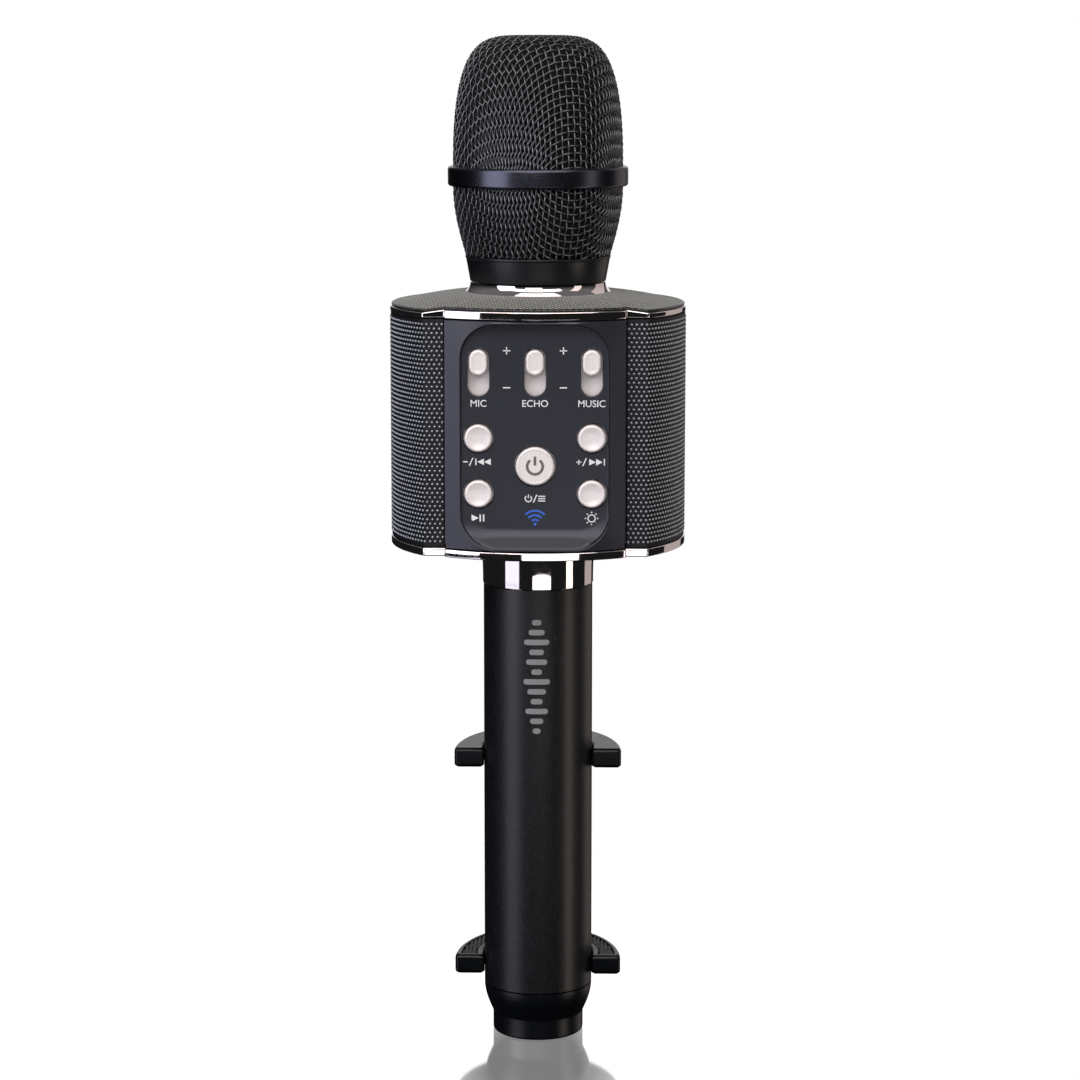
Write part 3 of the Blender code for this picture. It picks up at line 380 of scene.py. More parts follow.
def flake_lacquer():
    """Black lacquer with aluminium flake, 0.35 mm: soft bands of light broken into fine sparkle."""
    made, tree, shader, place = surface(
        "flake_lacquer", FLAKE_DARK, 0.38, 0.0, Specular_IOR_Level=0.5, Coat_Weight=0.15, Coat_Roughness=0.25
    )
    flakes = add(tree, "ShaderNodeTexVoronoi", {"Vector": place, "Scale": 1 / (0.35 * MM)}, feature="F1")
    grey = add(tree, "ShaderNodeRGBToBW", {"Color": flakes.outputs["Color"]})
    share = add(
        tree, "ShaderNodeMapRange",
        {"Value": grey.outputs["Val"], "From Min": 0.45, "From Max": 0.95, "To Min": 0.0, "To Max": 1.0},
    )
    tinted(tree, shader, share.outputs["Result"], FLAKE_DARK, FLAKE_LIGHT)
    bump = add(
        tree, "ShaderNodeBump", {"Height": grey.outputs["Val"], "Distance": 0.02 * MM, "Strength": 0.6}
    )
    tree.links.new(bump.outputs["Normal"], shader.inputs["Normal"])
    return made


FLAKE_DARK, FLAKE_LIGHT = "030407", "1c1b20"


def satin_lacquer():
    """Smooth satin black lacquer over metal: a wide soft highlight with hardly any grain."""
    made, tree, shader, place = surface("satin_lacquer", "05070d", 0.34, 0.0, Specular_IOR_Level=0.5)
    roughened(tree, shader, place, 0.25 * MM, 0.04, 0.003 * MM)
    return made


def black_nickel():
    """Satin black-nickel plating on the head's band: dark, but with a bright metallic highlight."""
    made, tree, shader, place = surface("black_nickel", "4c4d58", 0.27, 1.0)
    roughened(tree, shader, place, 0.3 * MM, 0.05)
    return made


def bright_chrome():
    """Polished chrome plating with a faint rose cast: mirror-sharp, hardly any haze."""
    made, tree, shader, place = surface("bright_chrome", "f1e8e9", 0.05, 1.0)
    roughened(tree, shader, place, 2.0 * MM, 0.02)
    return made


def enamelled_wire():
    """Woven steel wire with thin black enamel: dark, with a grey glint along each turn of wire."""
    made, tree, shader, place = surface("enamelled_wire", "5f5f63", 0.32, 0.9, Specular_IOR_Level=0.6)
    roughened(tree, shader, place, 0.5 * MM, 0.08, 0.01 * MM)
    return made


def open_cell_foam():
    """Black polyurethane foam, 0.5 mm cells: swallows light."""
    made, tree, shader, place = surface("open_cell_foam", "060607", 0.95)
    cells = add(tree, "ShaderNodeTexVoronoi", {"Vector": place, "Scale": 1 / (0.5 * MM)}, feature="F1")
    tinted(tree, shader, cells.outputs["Distance"], "020202", "0c0c0d")
    bump = add(
        tree, "ShaderNodeBump", {"Height": cells.outputs["Distance"], "Distance": 0.3 * MM, "Strength": 1.0}
    )
    tree.links.new(bump.outputs["Normal"], shader.inputs["Normal"])
    return made


def speaker_cloth():
    """Twill speaker cloth, threads 1.2 mm apart: olive-grey, with fine diagonal ribs and flecks."""
    made, tree, shader, place = surface("speaker_cloth", "6a685e", 0.8, Sheen_Weight=0.3, Sheen_Roughness=0.5)
    thread = 1.2 * MM
    ribs = []
    for angle in (math.radians(38), math.radians(-52)):
        turn = add(tree, "ShaderNodeMapping", {"Vector": place, "Rotation": (0, 0, angle)})
        ribs.append(
            add(
                tree, "ShaderNodeTexWave",
                {"Vector": turn.outputs["Vector"], "Scale": math.tau / (20 * thread), "Distortion": 0.6,
                 "Detail": 1.0, "Detail Scale": 2.0},
                wave_type="BANDS", bands_direction="X",
            ).outputs["Fac"]
        )
    weave = add(tree, "ShaderNodeMath", {0: ribs[0], 1: ribs[1]}, operation="MULTIPLY")
    fleck = add(tree, "ShaderNodeTexNoise", {"Vector": place, "Scale": 1 / (0.9 * MM), "Detail": 4.0})
    share = add(tree, "ShaderNodeMath", {0: weave.outputs[0], 1: fleck.outputs["Fac"]}, operation="MULTIPLY")
    lift = add(
        tree, "ShaderNodeMapRange",
        {"Value": share.outputs[0], "From Min": 0.02, "From Max": 0.45, "To Min": 0.0, "To Max": 1.0},
    )
    tinted(tree, shader, lift.outputs["Result"], "11110e", "b0aea0")
    bump = add(tree, "ShaderNodeBump", {"Height": share.outputs[0], "Distance": 0.2 * MM, "Strength": 1.0})
    tree.links.new(bump.outputs["Normal"], shader.inputs["Normal"])
    return made


def grille_sheet():
    """Black-blue stoved sheet steel between the studs: nearly matt, almost black."""
    made, tree, shader, place = surface("grille_sheet", "0b0d14", 0.5, 0.2)
    roughened(tree, shader, place, 0.4 * MM, 0.06)
    return made


def grille_stud_painted_highlight():
    """Pale grey on the pressed studs, far paler than the black sheet they are pressed from: painted highlight
    for the light the domes catch, varied by a noise grain, and brighter where a stud faces the light.
    """
    made, tree, shader, place = surface("grille_stud_painted_highlight", "a4a7b0", 0.30, 0.7)
    grain = roughened(tree, shader, place, 0.5 * MM, 0.06)
    # painted highlight: the studs' pale grey between these two tones stands in for the light on the domes
    tinted(tree, shader, grain, "868993", "bfc2ca")
    return made


def painted_panel():
    """Satin dark-blue-grey paint on moulded ABS, 0.2 mm spray grain: a broad lavender sheen."""
    made, tree, shader, place = surface("painted_panel", "31323a", 0.34, 0.4, Specular_IOR_Level=0.5)
    grain = roughened(tree, shader, place, 0.2 * MM, 0.05, 0.006 * MM)
    tinted(tree, shader, grain, "2a2b33", "393a43")
    return made


def metallised_plastic():
    """Vacuum-metallised plastic, matt lacquered: pale rose-silver, soft and even."""
    made, tree, shader, place = surface("metallised_plastic", "f2e9e8", 0.30, 0.15)
    grain = roughened(tree, shader, place, 0.3 * MM, 0.05, 0.004 * MM)
    tinted(tree, shader, grain, "ece2e1", "f8f1f0")
    return made


def moulded_abs():
    """Black moulded ABS, lightly polished: dark with small sharp glints along its edges."""
    made, tree, shader, place = surface("moulded_abs", "04060a", 0.32, Specular_IOR_Level=0.3)
    roughened(tree, shader, place, 0.35 * MM, 0.06, 0.005 * MM)
    return made


def textured_abs():
    """Black ABS from a spark-eroded mould, 0.3 mm grain: matt and a little grey."""
    made, tree, shader, place = surface("textured_abs", "121215", 0.55)
    roughened(tree, shader, place, 0.3 * MM, 0.08, 0.03 * MM)
    return made


def nitrile_rubber():
    """Moulded nitrile rubber: matt charcoal with a dusty bloom."""
    made, tree, shader, place = surface("nitrile_rubber", "2c2c2e", 0.6)
    bloom = roughened(tree, shader, place, 0.8 * MM, 0.1, 0.02 * MM)
    tinted(tree, shader, bloom, "232325", "3c3c3e")
    return made


def plated_steel():
    """Zinc-plated steel: mid grey, with cloudy gloss."""
    made, tree, shader, place = surface("plated_steel", "a9abad", 0.3, 1.0)
    roughened(tree, shader, place, 1.0 * MM, 0.08)
    return made


def turned_brass():
    """Turned brass with rings of tool marks 0.2 mm apart."""
    made, tree, shader, place = surface("turned_brass", "b58b3c", 0.28, 1.0)
    marks = add(
        tree, "ShaderNodeTexWave", {"Vector": place, "Scale": math.tau / (20 * 0.2 * MM)},
        wave_type="RINGS", rings_direction="Z",
    )
    bump = add(tree, "ShaderNodeBump", {"Height": marks.outputs["Fac"], "Distance": 0.01 * MM})
    tree.links.new(bump.outputs["Normal"], shader.inputs["Normal"])
    return made


def solder_mask():
    """Green solder mask over copper: glossy, with lighter traces 2.4 mm apart."""
    made, tree, shader, place = surface("solder_mask", "16502c", 0.3, Specular_IOR_Level=0.6)
    traces = add(
        tree, "ShaderNodeTexBrick",
        {"Vector": place, "Color1": linear("16502c"), "Color2": linear("1a5a33"), "Mortar": linear("3f8a52"),
         "Scale": 1 / (2.4 * MM), "Mortar Size": 0.06},
    )
    tree.links.new(traces.outputs["Color"], shader.inputs["Base Color"])
    return made


def cell_sleeve():
    """Shrink sleeve on the cell: blue PVC, slightly wrinkled."""
    made, tree, shader, place = surface("cell_sleeve", "2f5f94", 0.35)
    roughened(tree, shader, place, 6 * MM, 0.08, 0.1 * MM)
    return made


def pulp_cone():
    """Pressed paper pulp: matt, fibrous near-black."""
    made, tree, shader, place = surface("pulp_cone", "1e1e20", 0.85)
    fibre = roughened(tree, shader, place, 0.6 * MM, 0.05, 0.05 * MM, 6.0)
    tinted(tree, shader, fibre, "161618", "2c2c2e")
    return made


def ink(name, pale, deep):
    made, tree, shader, place = surface(name, pale, 0.5)
    cover = roughened(tree, shader, place, 0.3 * MM, 0.05)
    tinted(tree, shader, cover, deep, pale)
    return made


def white_ink():
    """Pad-printed white ink: matt, slightly uneven cover."""
    return ink("white_ink", "f6f6f6", "dcdcde")


def blue_ink():
    """Pad-printed blue ink."""
    return ink("blue_ink", "3a6fd0", "2a57b4")


def grey_ink():
    """Screen-printed grey ink on the lacquered handle."""
    return ink("grey_ink", "8f8f91", "808082")


def shaded_inlay():
    """Paint-filled engraving in the power button: mid grey."""
    return ink("shaded_inlay", "757070", "5c5857")


FINISHES = {
    maker.__name__: maker
    for maker in (
        flake_lacquer, satin_lacquer, black_nickel, bright_chrome, enamelled_wire, open_cell_foam,
        speaker_cloth, grille_sheet, grille_stud_painted_highlight, painted_panel, metallised_plastic, moulded_abs,
        textured_abs, nitrile_rubber, plated_steel, turned_brass, solder_mask, cell_sleeve, pulp_cone,
        white_ink, blue_ink, grey_ink, shaded_inlay,
    )
}


def finished(name):
    """The one shared material of a finish, made when it is first asked for."""
    return bpy.data.materials.get(name) or FINISHES[name]()


# CAD nodes whose shape stays, and their finish
KEPT_NODES = {
    "audio_socket": "moulded_abs", "battery_cell": "cell_sleeve", "battery_sled": "textured_abs",
    "capsule": "turned_brass", "capsule_carrier": "textured_abs", "capsule_shock_mount": "nitrile_rubber",
    "card_socket": "plated_steel", "contact_spring": "plated_steel", "control_board": "solder_mask",
    "core_box": "textured_abs", "driver_basket_left": "textured_abs", "driver_basket_right": "textured_abs",
    "driver_cone_left": "pulp_cone", "driver_cone_right": "pulp_cone", "led_board_left": "solder_mask",
    "led_board_right": "solder_mask", "main_board": "solder_mask", "usb_socket": "plated_steel",
    "jaw_carriage": "textured_abs", "windscreen_foam": "open_cell_foam",
    **{f"slide_control_{use}": "plated_steel" for use in SLIDERS},
    **{f"switch_{use}": "plated_steel" for use in BUTTONS},
}


# Settings


class NetSettings(bpy.types.PropertyGroup):
    pitch: FloatProperty(
        name="Pitch", description="Distance between wires of the head's net", default=1.96 * MM, unit="LENGTH"
    )
    wire: FloatProperty(
        name="Wire", description="Radius of a wire", default=0.25 * MM, unit="LENGTH"
    )
    crimp: FloatProperty(
        name="Crimp", description="How far a wire bends to each side of the net",
        default=0.27 * MM, unit="LENGTH",
    )
    turn: FloatProperty(
        name="Turn", description="Direction of the straight wires, right of the front",
        default=math.radians(27), subtype="ANGLE",
    )
    rounds: IntProperty(name="Rounds", description="Steps of the net's settling", default=300, min=1)


class StudSettings(bpy.types.PropertyGroup):
    pitch: FloatProperty(
        name="Pitch", description="Distance between studs in a row", default=1.36 * MM, unit="LENGTH"
    )
    radius: FloatProperty(
        name="Radius", description="Radius of a stud's foot", default=0.50 * MM, unit="LENGTH"
    )
    height: FloatProperty(
        name="Height", description="How far a stud stands out", default=0.22 * MM, unit="LENGTH"
    )


class StageSettings(bpy.types.PropertyGroup):
    lens: FloatProperty(name="Lens", description="Focal length of the camera, in mm", default=103.3)
    distance: FloatProperty(
        name="Distance", description="From the camera to the microphone's axis",
        default=848 * MM, unit="LENGTH",
    )
    azimuth: FloatProperty(
        name="Azimuth", description="Of the camera, to the right of the front",
        default=math.radians(1.5), subtype="ANGLE",
    )
    pitch: FloatProperty(
        name="Pitch", description="How far down the camera looks", default=math.radians(9.4), subtype="ANGLE"
    )
    floor: FloatVectorProperty(
        name="Floor", description="Colour of the floor", default=(1, 1, 1), subtype="COLOR", size=3
    )


# Head


def pressed_net(profile, reach, settings):
    """Crossings of a square-woven sheet pressed over a turned form, with the form's normal at each.

    The profile runs from the pole outwards. Each round pulls neighbours to one pitch apart, pushes crowded
    diagonals apart, straightens the wires and moves every crossing along the form.
    """
    radii, heights = np.array(profile).T
    path = np.concatenate([[0], np.cumsum(np.hypot(np.diff(radii), np.diff(heights)))])
    even = np.linspace(0, path[-1], 600)
    radii, heights, path = np.interp(even, path, radii), np.interp(even, path, heights), even
    slope_r, slope_z = np.gradient(radii, path), np.gradient(heights, path)
    pitch = settings.pitch
    lock = 0.6 * pitch  # the closest that crossings come across a sheared cell
    count = int(reach / pitch)
    i, j = np.mgrid[-count : count + 1, -count : count + 1].astype(float)
    flat, heading = np.hypot(i, j) * pitch, np.arctan2(j, i)
    main = np.round(heading / (math.pi / 2)) * math.pi / 2
    lean = (heading - main) / (math.pi / 4)
    crowd = np.maximum(1.0001, flat / np.maximum(np.interp(flat, path, radii), pitch))
    bend = np.sqrt(3 * (crowd - 1))
    share = 0.2 * lean + 0.8 * np.tanh(bend * lean) / np.tanh(bend)
    around = main + math.pi / 4 * share + settings.turn - math.pi / 2
    along = flat + 0.28 * np.maximum(0, flat - 0.55 * radii.max()) * np.abs(lean) ** 1.5
    used = (along < path[-1]).astype(float)
    pairs = (
        (np.s_[:-1, :], np.s_[1:, :], pitch, False), (np.s_[:, :-1], np.s_[:, 1:], pitch, False),
        (np.s_[:-1, :-1], np.s_[1:, 1:], lock, True), (np.s_[:-1, 1:], np.s_[1:, :-1], lock, True),
    )
    threes = (
        (np.s_[:-2, :], np.s_[1:-1, :], np.s_[2:, :]), (np.s_[:, :-2], np.s_[:, 1:-1], np.s_[:, 2:]),
    )
    drift = np.zeros((*along.shape, 3))
    for _ in range(settings.rounds):
        radius, height = np.interp(along, path, radii), np.interp(along, path, heights)
        points = np.stack([radius * np.cos(around), radius * np.sin(around), height], axis=-1)
        drift *= 0.5
        for one, two, wanted, only_push in pairs:
            gap = points[two] - points[one]
            length = np.maximum(np.linalg.norm(gap, axis=-1, keepdims=True), 1e-9)
            short = wanted - length
            if only_push:
                short = np.maximum(short, 0)
            push = gap / length * short * 0.1 * (used[one] * used[two])[..., None]
            drift[one] -= push
            drift[two] += push
        for one, two, three in threes:
            bow = (points[one] + points[three]) / 2 - points[two]
            pull = bow * 0.2 * (used[one] * used[two] * used[three])[..., None]
            drift[two] += pull
            drift[one] -= pull / 2
            drift[three] -= pull / 2
        drift[count, count] = 0
        out_r, out_z = np.interp(along, path, slope_r), np.interp(along, path, slope_z)
        cos, sin = np.cos(around), np.sin(around)
        along = along + (drift[..., 0] * cos + drift[..., 1] * sin) * out_r + drift[..., 2] * out_z
        around = around + (drift[..., 1] * cos - drift[..., 0] * sin) / np.maximum(radius, pitch / 2)
        along = np.clip(along, 0, path[-1])
    normals = np.stack([-out_z * cos, -out_z * sin, out_r], axis=-1)
    return points, normals, used > 0, (i + j) % 2 * 2 - 1


def wire_runs(net, settings, bottom, top):
    """Wavy runs of both sets of wires between two heights."""
    points, normals, used, sides = net
    runs = []
    for across in (False, True):
        for line in range(len(points)):
            row = np.s_[:, line] if across else np.s_[line, :]
            place, out, keep = points[row], normals[row], used[row]
            side = sides[row] * (-1 if across else 1)
            keep = np.flatnonzero(keep)
            if len(keep) < 3:
                continue
            place, out, side = place[keep], out[keep], side[keep]
            run = []
            for k in range(len(place) - 1):
                before, after = place[max(k - 1, 0)], place[min(k + 2, len(place) - 1)]
                for t in (0, 1 / 3, 2 / 3):
                    bow = (
                        2 * place[k] + (place[k + 1] - before) * t
                        + (2 * before - 5 * place[k] + 4 * place[k + 1] - after) * t**2
                        + (3 * place[k] - before - 3 * place[k + 1] + after) * t**3
                    ) / 2
                    bend = settings.crimp * side[k] * math.cos(math.pi * t)
                    spot = bow + (out[k] * (1 - t) + out[k + 1] * t) * bend
                    if bottom <= spot[2] <= top:
                        run.append(tuple(spot))
                    elif run:
                        runs.append(run)
                        run = []
            runs.append(run)
    return [run for run in runs if len(run) > 2]


def dome_profile(radius, height, foot_z, foot):
    """(radius, height) down the dome from its pole: a superellipse, then straight down past its foot."""
    steps = 160
    angles = [math.pi / 2 * (1 - i / steps) for i in range(steps + 1)]
    profile = [(radius * math.cos(a) ** (2 / 5), foot_z + height * math.sin(a) ** (2 / 2.38)) for a in angles]
    profile[0] = (0, foot_z + height)
    drops = 40
    return profile + [(radius, foot_z - foot * i / drops) for i in range(1, drops + 1)]


def bowl_profile(foot_radius, radius, foot_z, height, rise):
    """(radius, height) up the lower net's form: a shallow bowl below the part that shows, then its side."""
    steps = 60
    bowl = [(foot_radius * math.sin(math.pi / 2 * i / steps),
             foot_z - foot_radius * 0.7 * math.cos(math.pi / 2 * i / steps)) for i in range(steps)]
    side = [(foot_radius + (radius - foot_radius) * math.sin(math.pi / 2 * i / steps),
             foot_z + height * i / steps) for i in range(steps + 1)]
    return bowl + side + [(radius, foot_z + height + rise * i / steps) for i in range(1, steps + 1)]


class MICROPHONE_OT_nets(bpy.types.Operator):
    """Weave the two wire nets of the head"""

    bl_idname = "microphone.nets"
    bl_label = "Head Nets"

    def execute(self, context):
        settings = context.scene.microphone_nets
        skin = settings.wire + settings.crimp
        bottom, top = low("head_mesh_upper", "z"), high("head_mesh_upper", "z")
        radius = high("head_mesh_upper", "x") - skin
        profile = dome_profile(radius, top - bottom - skin, bottom, 40 * MM)
        net = pressed_net(profile, 60 * MM, settings)
        runs = wire_runs(net, settings, high("head_band", "z") - 2 * TUCK, top)
        wires = tube_of(runs, settings.wire, 1)
        piece("upper_net", wires, "enamelled_wire", "head_mesh_upper", crease=None)
        bottom, top = low("head_mesh_lower", "z"), high("head_mesh_lower", "z")
        foot = high("head_base_ring", "x") - skin
        profile = bowl_profile(foot, radius, bottom, top - bottom, 20 * MM)
        net = pressed_net(profile, 60 * MM, settings)
        runs = wire_runs(net, settings, bottom - TUCK, top + 2 * TUCK)
        wires = tube_of(runs, settings.wire, 1)
        piece("lower_net", wires, "enamelled_wire", "head_mesh_lower", crease=None)
        return {"FINISHED"}


class MICROPHONE_OT_rings(bpy.types.Operator):
    """Turn the head's band, its base ring and the chrome neck"""

    bl_idname = "microphone.rings"
    bl_label = "Head Rings"

    def execute(self, context):
        radius, bottom, top = high("head_band", "x"), low("head_band", "z"), high("head_band", "z")
        bore = radius - 2.6 * MM
        band = turned([(radius, top), (radius, bottom), (bore, bottom), (bore, top)], soft=0.8 * MM)
        piece("band_ring", band, "black_nickel", "head_band")
        bottom, top = low("head_base_ring", "z"), high("head_base_ring", "z")
        foot, lip = high("neck_ring", "x") - 1.2 * MM, high("head_base_ring", "x")
        bore = foot - 2 * MM
        cone = [(lip, top), (lip, top - 0.5 * MM), (lip - 0.2 * MM, top - 0.7 * MM), (foot, bottom),
                (bore, bottom), (bore, top)]
        piece("base_ring", turned(cone, soft=0.12 * MM), "satin_lacquer", "head_base_ring")
        flare, low_z, top = high("neck_ring", "x"), high("top_cover", "z") - TUCK, high("neck_ring", "z")
        sleeve = foot - 1.4 * MM
        skirt = [(foot + (flare - foot) * (i / 10) ** 2, top - (top - low_z - TUCK) * i / 10)
                 for i in range(11)]
        bore = sleeve - 2 * MM
        neck = skirt + [(flare, low_z), (sleeve, low_z), (sleeve, low("neck_ring", "z")),
                        (bore, low("neck_ring", "z")), (bore, top)]
        piece("neck_flare", turned(neck), "bright_chrome", "neck_ring")
        return {"FINISHED"}


# Handle


WAVE = (0.35, 0.6, 0.95, 0.55, 0.8, 0.4, 1.0, 0.7, 0.45, 0.85, 0.5, 0.3)  # lengths of the mark's bars


def wrapped(work, radius):
    """Bends a flat shape drawn in X and Z onto the front of a cylinder."""
    for vertex in work.verts:
        vertex.co.y -= math.sqrt(radius**2 - vertex.co.x**2)


class MICROPHONE_OT_handle(bpy.types.Operator):
    """Turn the handle's tube, its tail cap and the chrome collar, and print the wave mark"""

    bl_idname = "microphone.handle"
    bl_label = "Handle"

    def execute(self, context):
        radius, bottom, top = high("handle_tube", "x"), low("handle_tube", "z"), high("handle_tube", "z")
        bore = radius - 1.8 * MM
        tube = turned([(radius, top), (radius, bottom), (bore, bottom), (bore, top)], soft=0.12 * MM)
        slot = bmesh.new()
        key_low, key_high = low("jaw_upper", "z") + 1.6 * MM, high("jaw_upper", "z") - 1.3 * MM
        box_of(slot, (-3 * MM, bore - 1 * MM, key_low), (3 * MM, radius + 1 * MM, key_high + 30 * MM))
        piece("handle_shell", carved(tube, slot), "flake_lacquer", "handle_tube")
        step = 0.3 * MM
        foot, rise = 12.5 * MM, bottom - step
        swell = [(foot + (radius - foot) * math.sin(math.pi / 2 * i / 16),
                  5.4 * MM + (rise - 5.4 * MM) * i / 16) for i in range(17)]
        edge = fillet(0.7 * MM)
        cap = [(foot - inset, drop) for inset, drop in reversed(edge)] + swell
        cap = [(0, 0)] + cap + [(bore - step, rise), (bore - step, rise + 6.2 * MM), (0, rise + 6.2 * MM)]
        piece("tail_cup", turned(cap), "satin_lacquer", "tail_cap")
        flare, top = high("lower_collar", "x"), high("lower_collar", "z")
        bottom = high("handle_tube", "z") + step
        height = top - bottom
        side = [(radius + 0.2 * MM + (flare - radius - 0.2 * MM) * (i / 12) ** 2.6, bottom + height * i / 12)
                for i in range(13)]
        bore = radius - 2.1 * MM
        collar = side + [(bore, top), (bore, bottom - 5.9 * MM), (radius - 2.0 * MM, bottom - 5.9 * MM),
                         (radius - 2.0 * MM, bottom)]
        piece("collar_flare", turned(collar[::-1], soft=0.1 * MM), "bright_chrome", "lower_collar")
        mark = bmesh.new()
        start, end = 87 * MM, 119.7 * MM
        spread = (end - start) / len(WAVE)
        for i, share in enumerate(WAVE):
            z = end - spread * (i + 0.5)
            bar = rounded(2 * 3.6 * MM * share, 1.5 * MM, 0.7 * MM, 5)
            stacked(mark, lambda inset, bar=bar, z=z: [(x, y + z) for x, y in bar],
                    [(0, 0), (0, 2 * PROUD)])
        bmesh.ops.subdivide_edges(mark, edges=[e for e in mark.edges if e.calc_length() > MM], cuts=8)
        mark.transform(Matrix.Rotation(math.pi / 2, 4, "X"))
        tidy(mark)
        wrapped(mark, radius - PROUD)
        piece("wave_mark", mark, "grey_ink", slot="handle_tube")
        return {"FINISHED"}


# Clamp


def jaw_shell(bottom, top, pocket_up):
    """A jaw with rounded edges and a pocket for its pad on one face."""
    edge, rim, depth = 0.9 * MM, 1.6 * MM, 1.6 * MM
    if pocket_up:
        levels = slab_levels(bottom, top, edge)[:-1] + [(edge, top), (rim, top), (rim, top - depth)]
    else:
        levels = [(rim, bottom + depth), (rim, bottom), *slab_levels(bottom, top, edge)]
    work = bmesh.new()
    stacked(work, jaw_outline, levels)
    tidy(work)
    front = low("jaw_lower", "y") + rim
    soften(work, 1.1 * MM, 4, choose=lambda spot: spot.y < front and bottom < spot.z < top)
    return work


class MICROPHONE_OT_clamp(bpy.types.Operator):
    """Make the phone clamp: two jaws, their pads, the screw and the return spring"""

    bl_idname = "microphone.clamp"
    bl_label = "Phone Clamp"

    def execute(self, context):
        inset = 1.9 * MM
        lower = jaw_shell(low("jaw_lower", "z"), high("jaw_lower", "z"), True)
        screw_z, screw_x = (low("jaw_screw", "z") + high("jaw_screw", "z")) / 2, high("jaw_screw", "x")
        seat = high("jaw_screw", "y") - 1.7 * MM
        rear = Matrix.Translation((0, 0, screw_z)) @ Matrix.Rotation(-math.pi / 2, 4, "X")
        bore = screw_x + 0.3 * MM
        hole = turned([(0, 40 * MM), (bore, 40 * MM), (bore, seat), (0, seat)], SMALL, place=rear)
        piece("lower_jaw_shell", carved(lower, hole), "moulded_abs", "jaw_lower")
        upper = jaw_shell(low("jaw_upper", "z"), high("jaw_upper", "z"), False)
        piece("upper_jaw_shell", upper, "moulded_abs", "jaw_upper", body="upper_jaw")
        pad = bmesh.new()
        stacked(pad, jaw_outline, slab_edges(inset, low("jaw_pad_lower", "z"), high("jaw_pad_lower", "z")))
        tidy(pad)
        grooves = bmesh.new()
        reach = high("jaw_lower", "x")
        top = high("jaw_pad_lower", "z")
        for i in range(-20, 21):
            x = (i + 0.5) * 1.05 * MM
            box_of(grooves, (x - 0.22 * MM, -reach, top - 0.5 * MM), (x + 0.22 * MM, 2 * reach, top + MM))
        piece("lower_grip_pad", carved(pad, grooves), "nitrile_rubber", "jaw_pad_lower")
        pad = bmesh.new()
        stacked(pad, jaw_outline, slab_edges(inset, low("jaw_pad_upper", "z"), high("jaw_pad_upper", "z")))
        tidy(pad)
        piece("upper_grip_pad", pad, "nitrile_rubber", "jaw_pad_upper", body="upper_jaw")
        self.make_screw(rear, screw_x, seat)
        self.make_spring()
        return {"FINISHED"}

    def make_screw(self, rear, radius, seat):
        """A pan head with a crossed recess."""
        shank, head, tip = 0.9 * MM, high("jaw_screw", "y"), low("jaw_screw", "y")
        work = turned([(0, head), (radius * 0.6, head - 0.05 * MM), (radius * 0.9, head - 0.4 * MM),
                       (radius, head - 0.9 * MM), (radius, seat + 0.3 * MM), (shank, seat + 0.3 * MM),
                       (shank, tip), (0, tip)][::-1], SMALL, place=rear)
        cross = bmesh.new()
        for turn in (0, math.pi / 2):
            made = box_of(cross, (-0.2 * MM, head - 0.6 * MM, -0.8 * MM), (0.2 * MM, head + MM, 0.8 * MM))
            bmesh.ops.rotate(cross, verts=made, cent=(0, 0, 0), matrix=Matrix.Rotation(turn, 3, "Y"))
        cross.transform(Matrix.Translation((0, 0, rear.translation.z)))
        piece("jaw_screw_head", carved(work, cross), "plated_steel", "jaw_screw")

    def make_spring(self):
        bottom, top = low("return_spring", "z"), high("return_spring", "z")
        wire = 0.3 * MM
        radius = high("return_spring", "x") - wire
        middle = (low("return_spring", "y") + high("return_spring", "y")) / 2
        coils, steps = 15, 16
        path = []
        for i in range(coils * steps + 1):
            turn = math.tau * i / steps
            z = bottom + wire + (top - bottom - 2 * wire) * i / (coils * steps)
            path.append((radius * math.cos(turn), middle + radius * math.sin(turn), z))
        spring = piece("return_coil", tube_of([path], wire, 2), "plated_steel", "return_spring")
        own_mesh(spring)


def slab_edges(inset, bottom, top, radius=0.25 * MM):
    """Levels of a thin slab inside an outline's inset."""
    return [(inset + more, height) for more, height in slab_levels(bottom, top, radius)]


# Speaker body


def trim(top, bottom, drop):
    """A bright ring round the body, lower at the sides by a drop."""
    work = bmesh.new()
    rings = []
    outer = body_outline(0)
    for inset, level in ((0, bottom), (0, top), (2 * MM, top), (2 * MM, bottom)):
        fall = drop if level == top else 0
        rings.append(ring_of(work, [(x, y, level - fall * strip_share(wide))
                                    for (x, y), (wide, _) in zip(body_outline(inset), outer)]))
    bridged(work, rings + rings[:1])
    tidy(work)
    soften(work, 0.3 * MM)
    return work


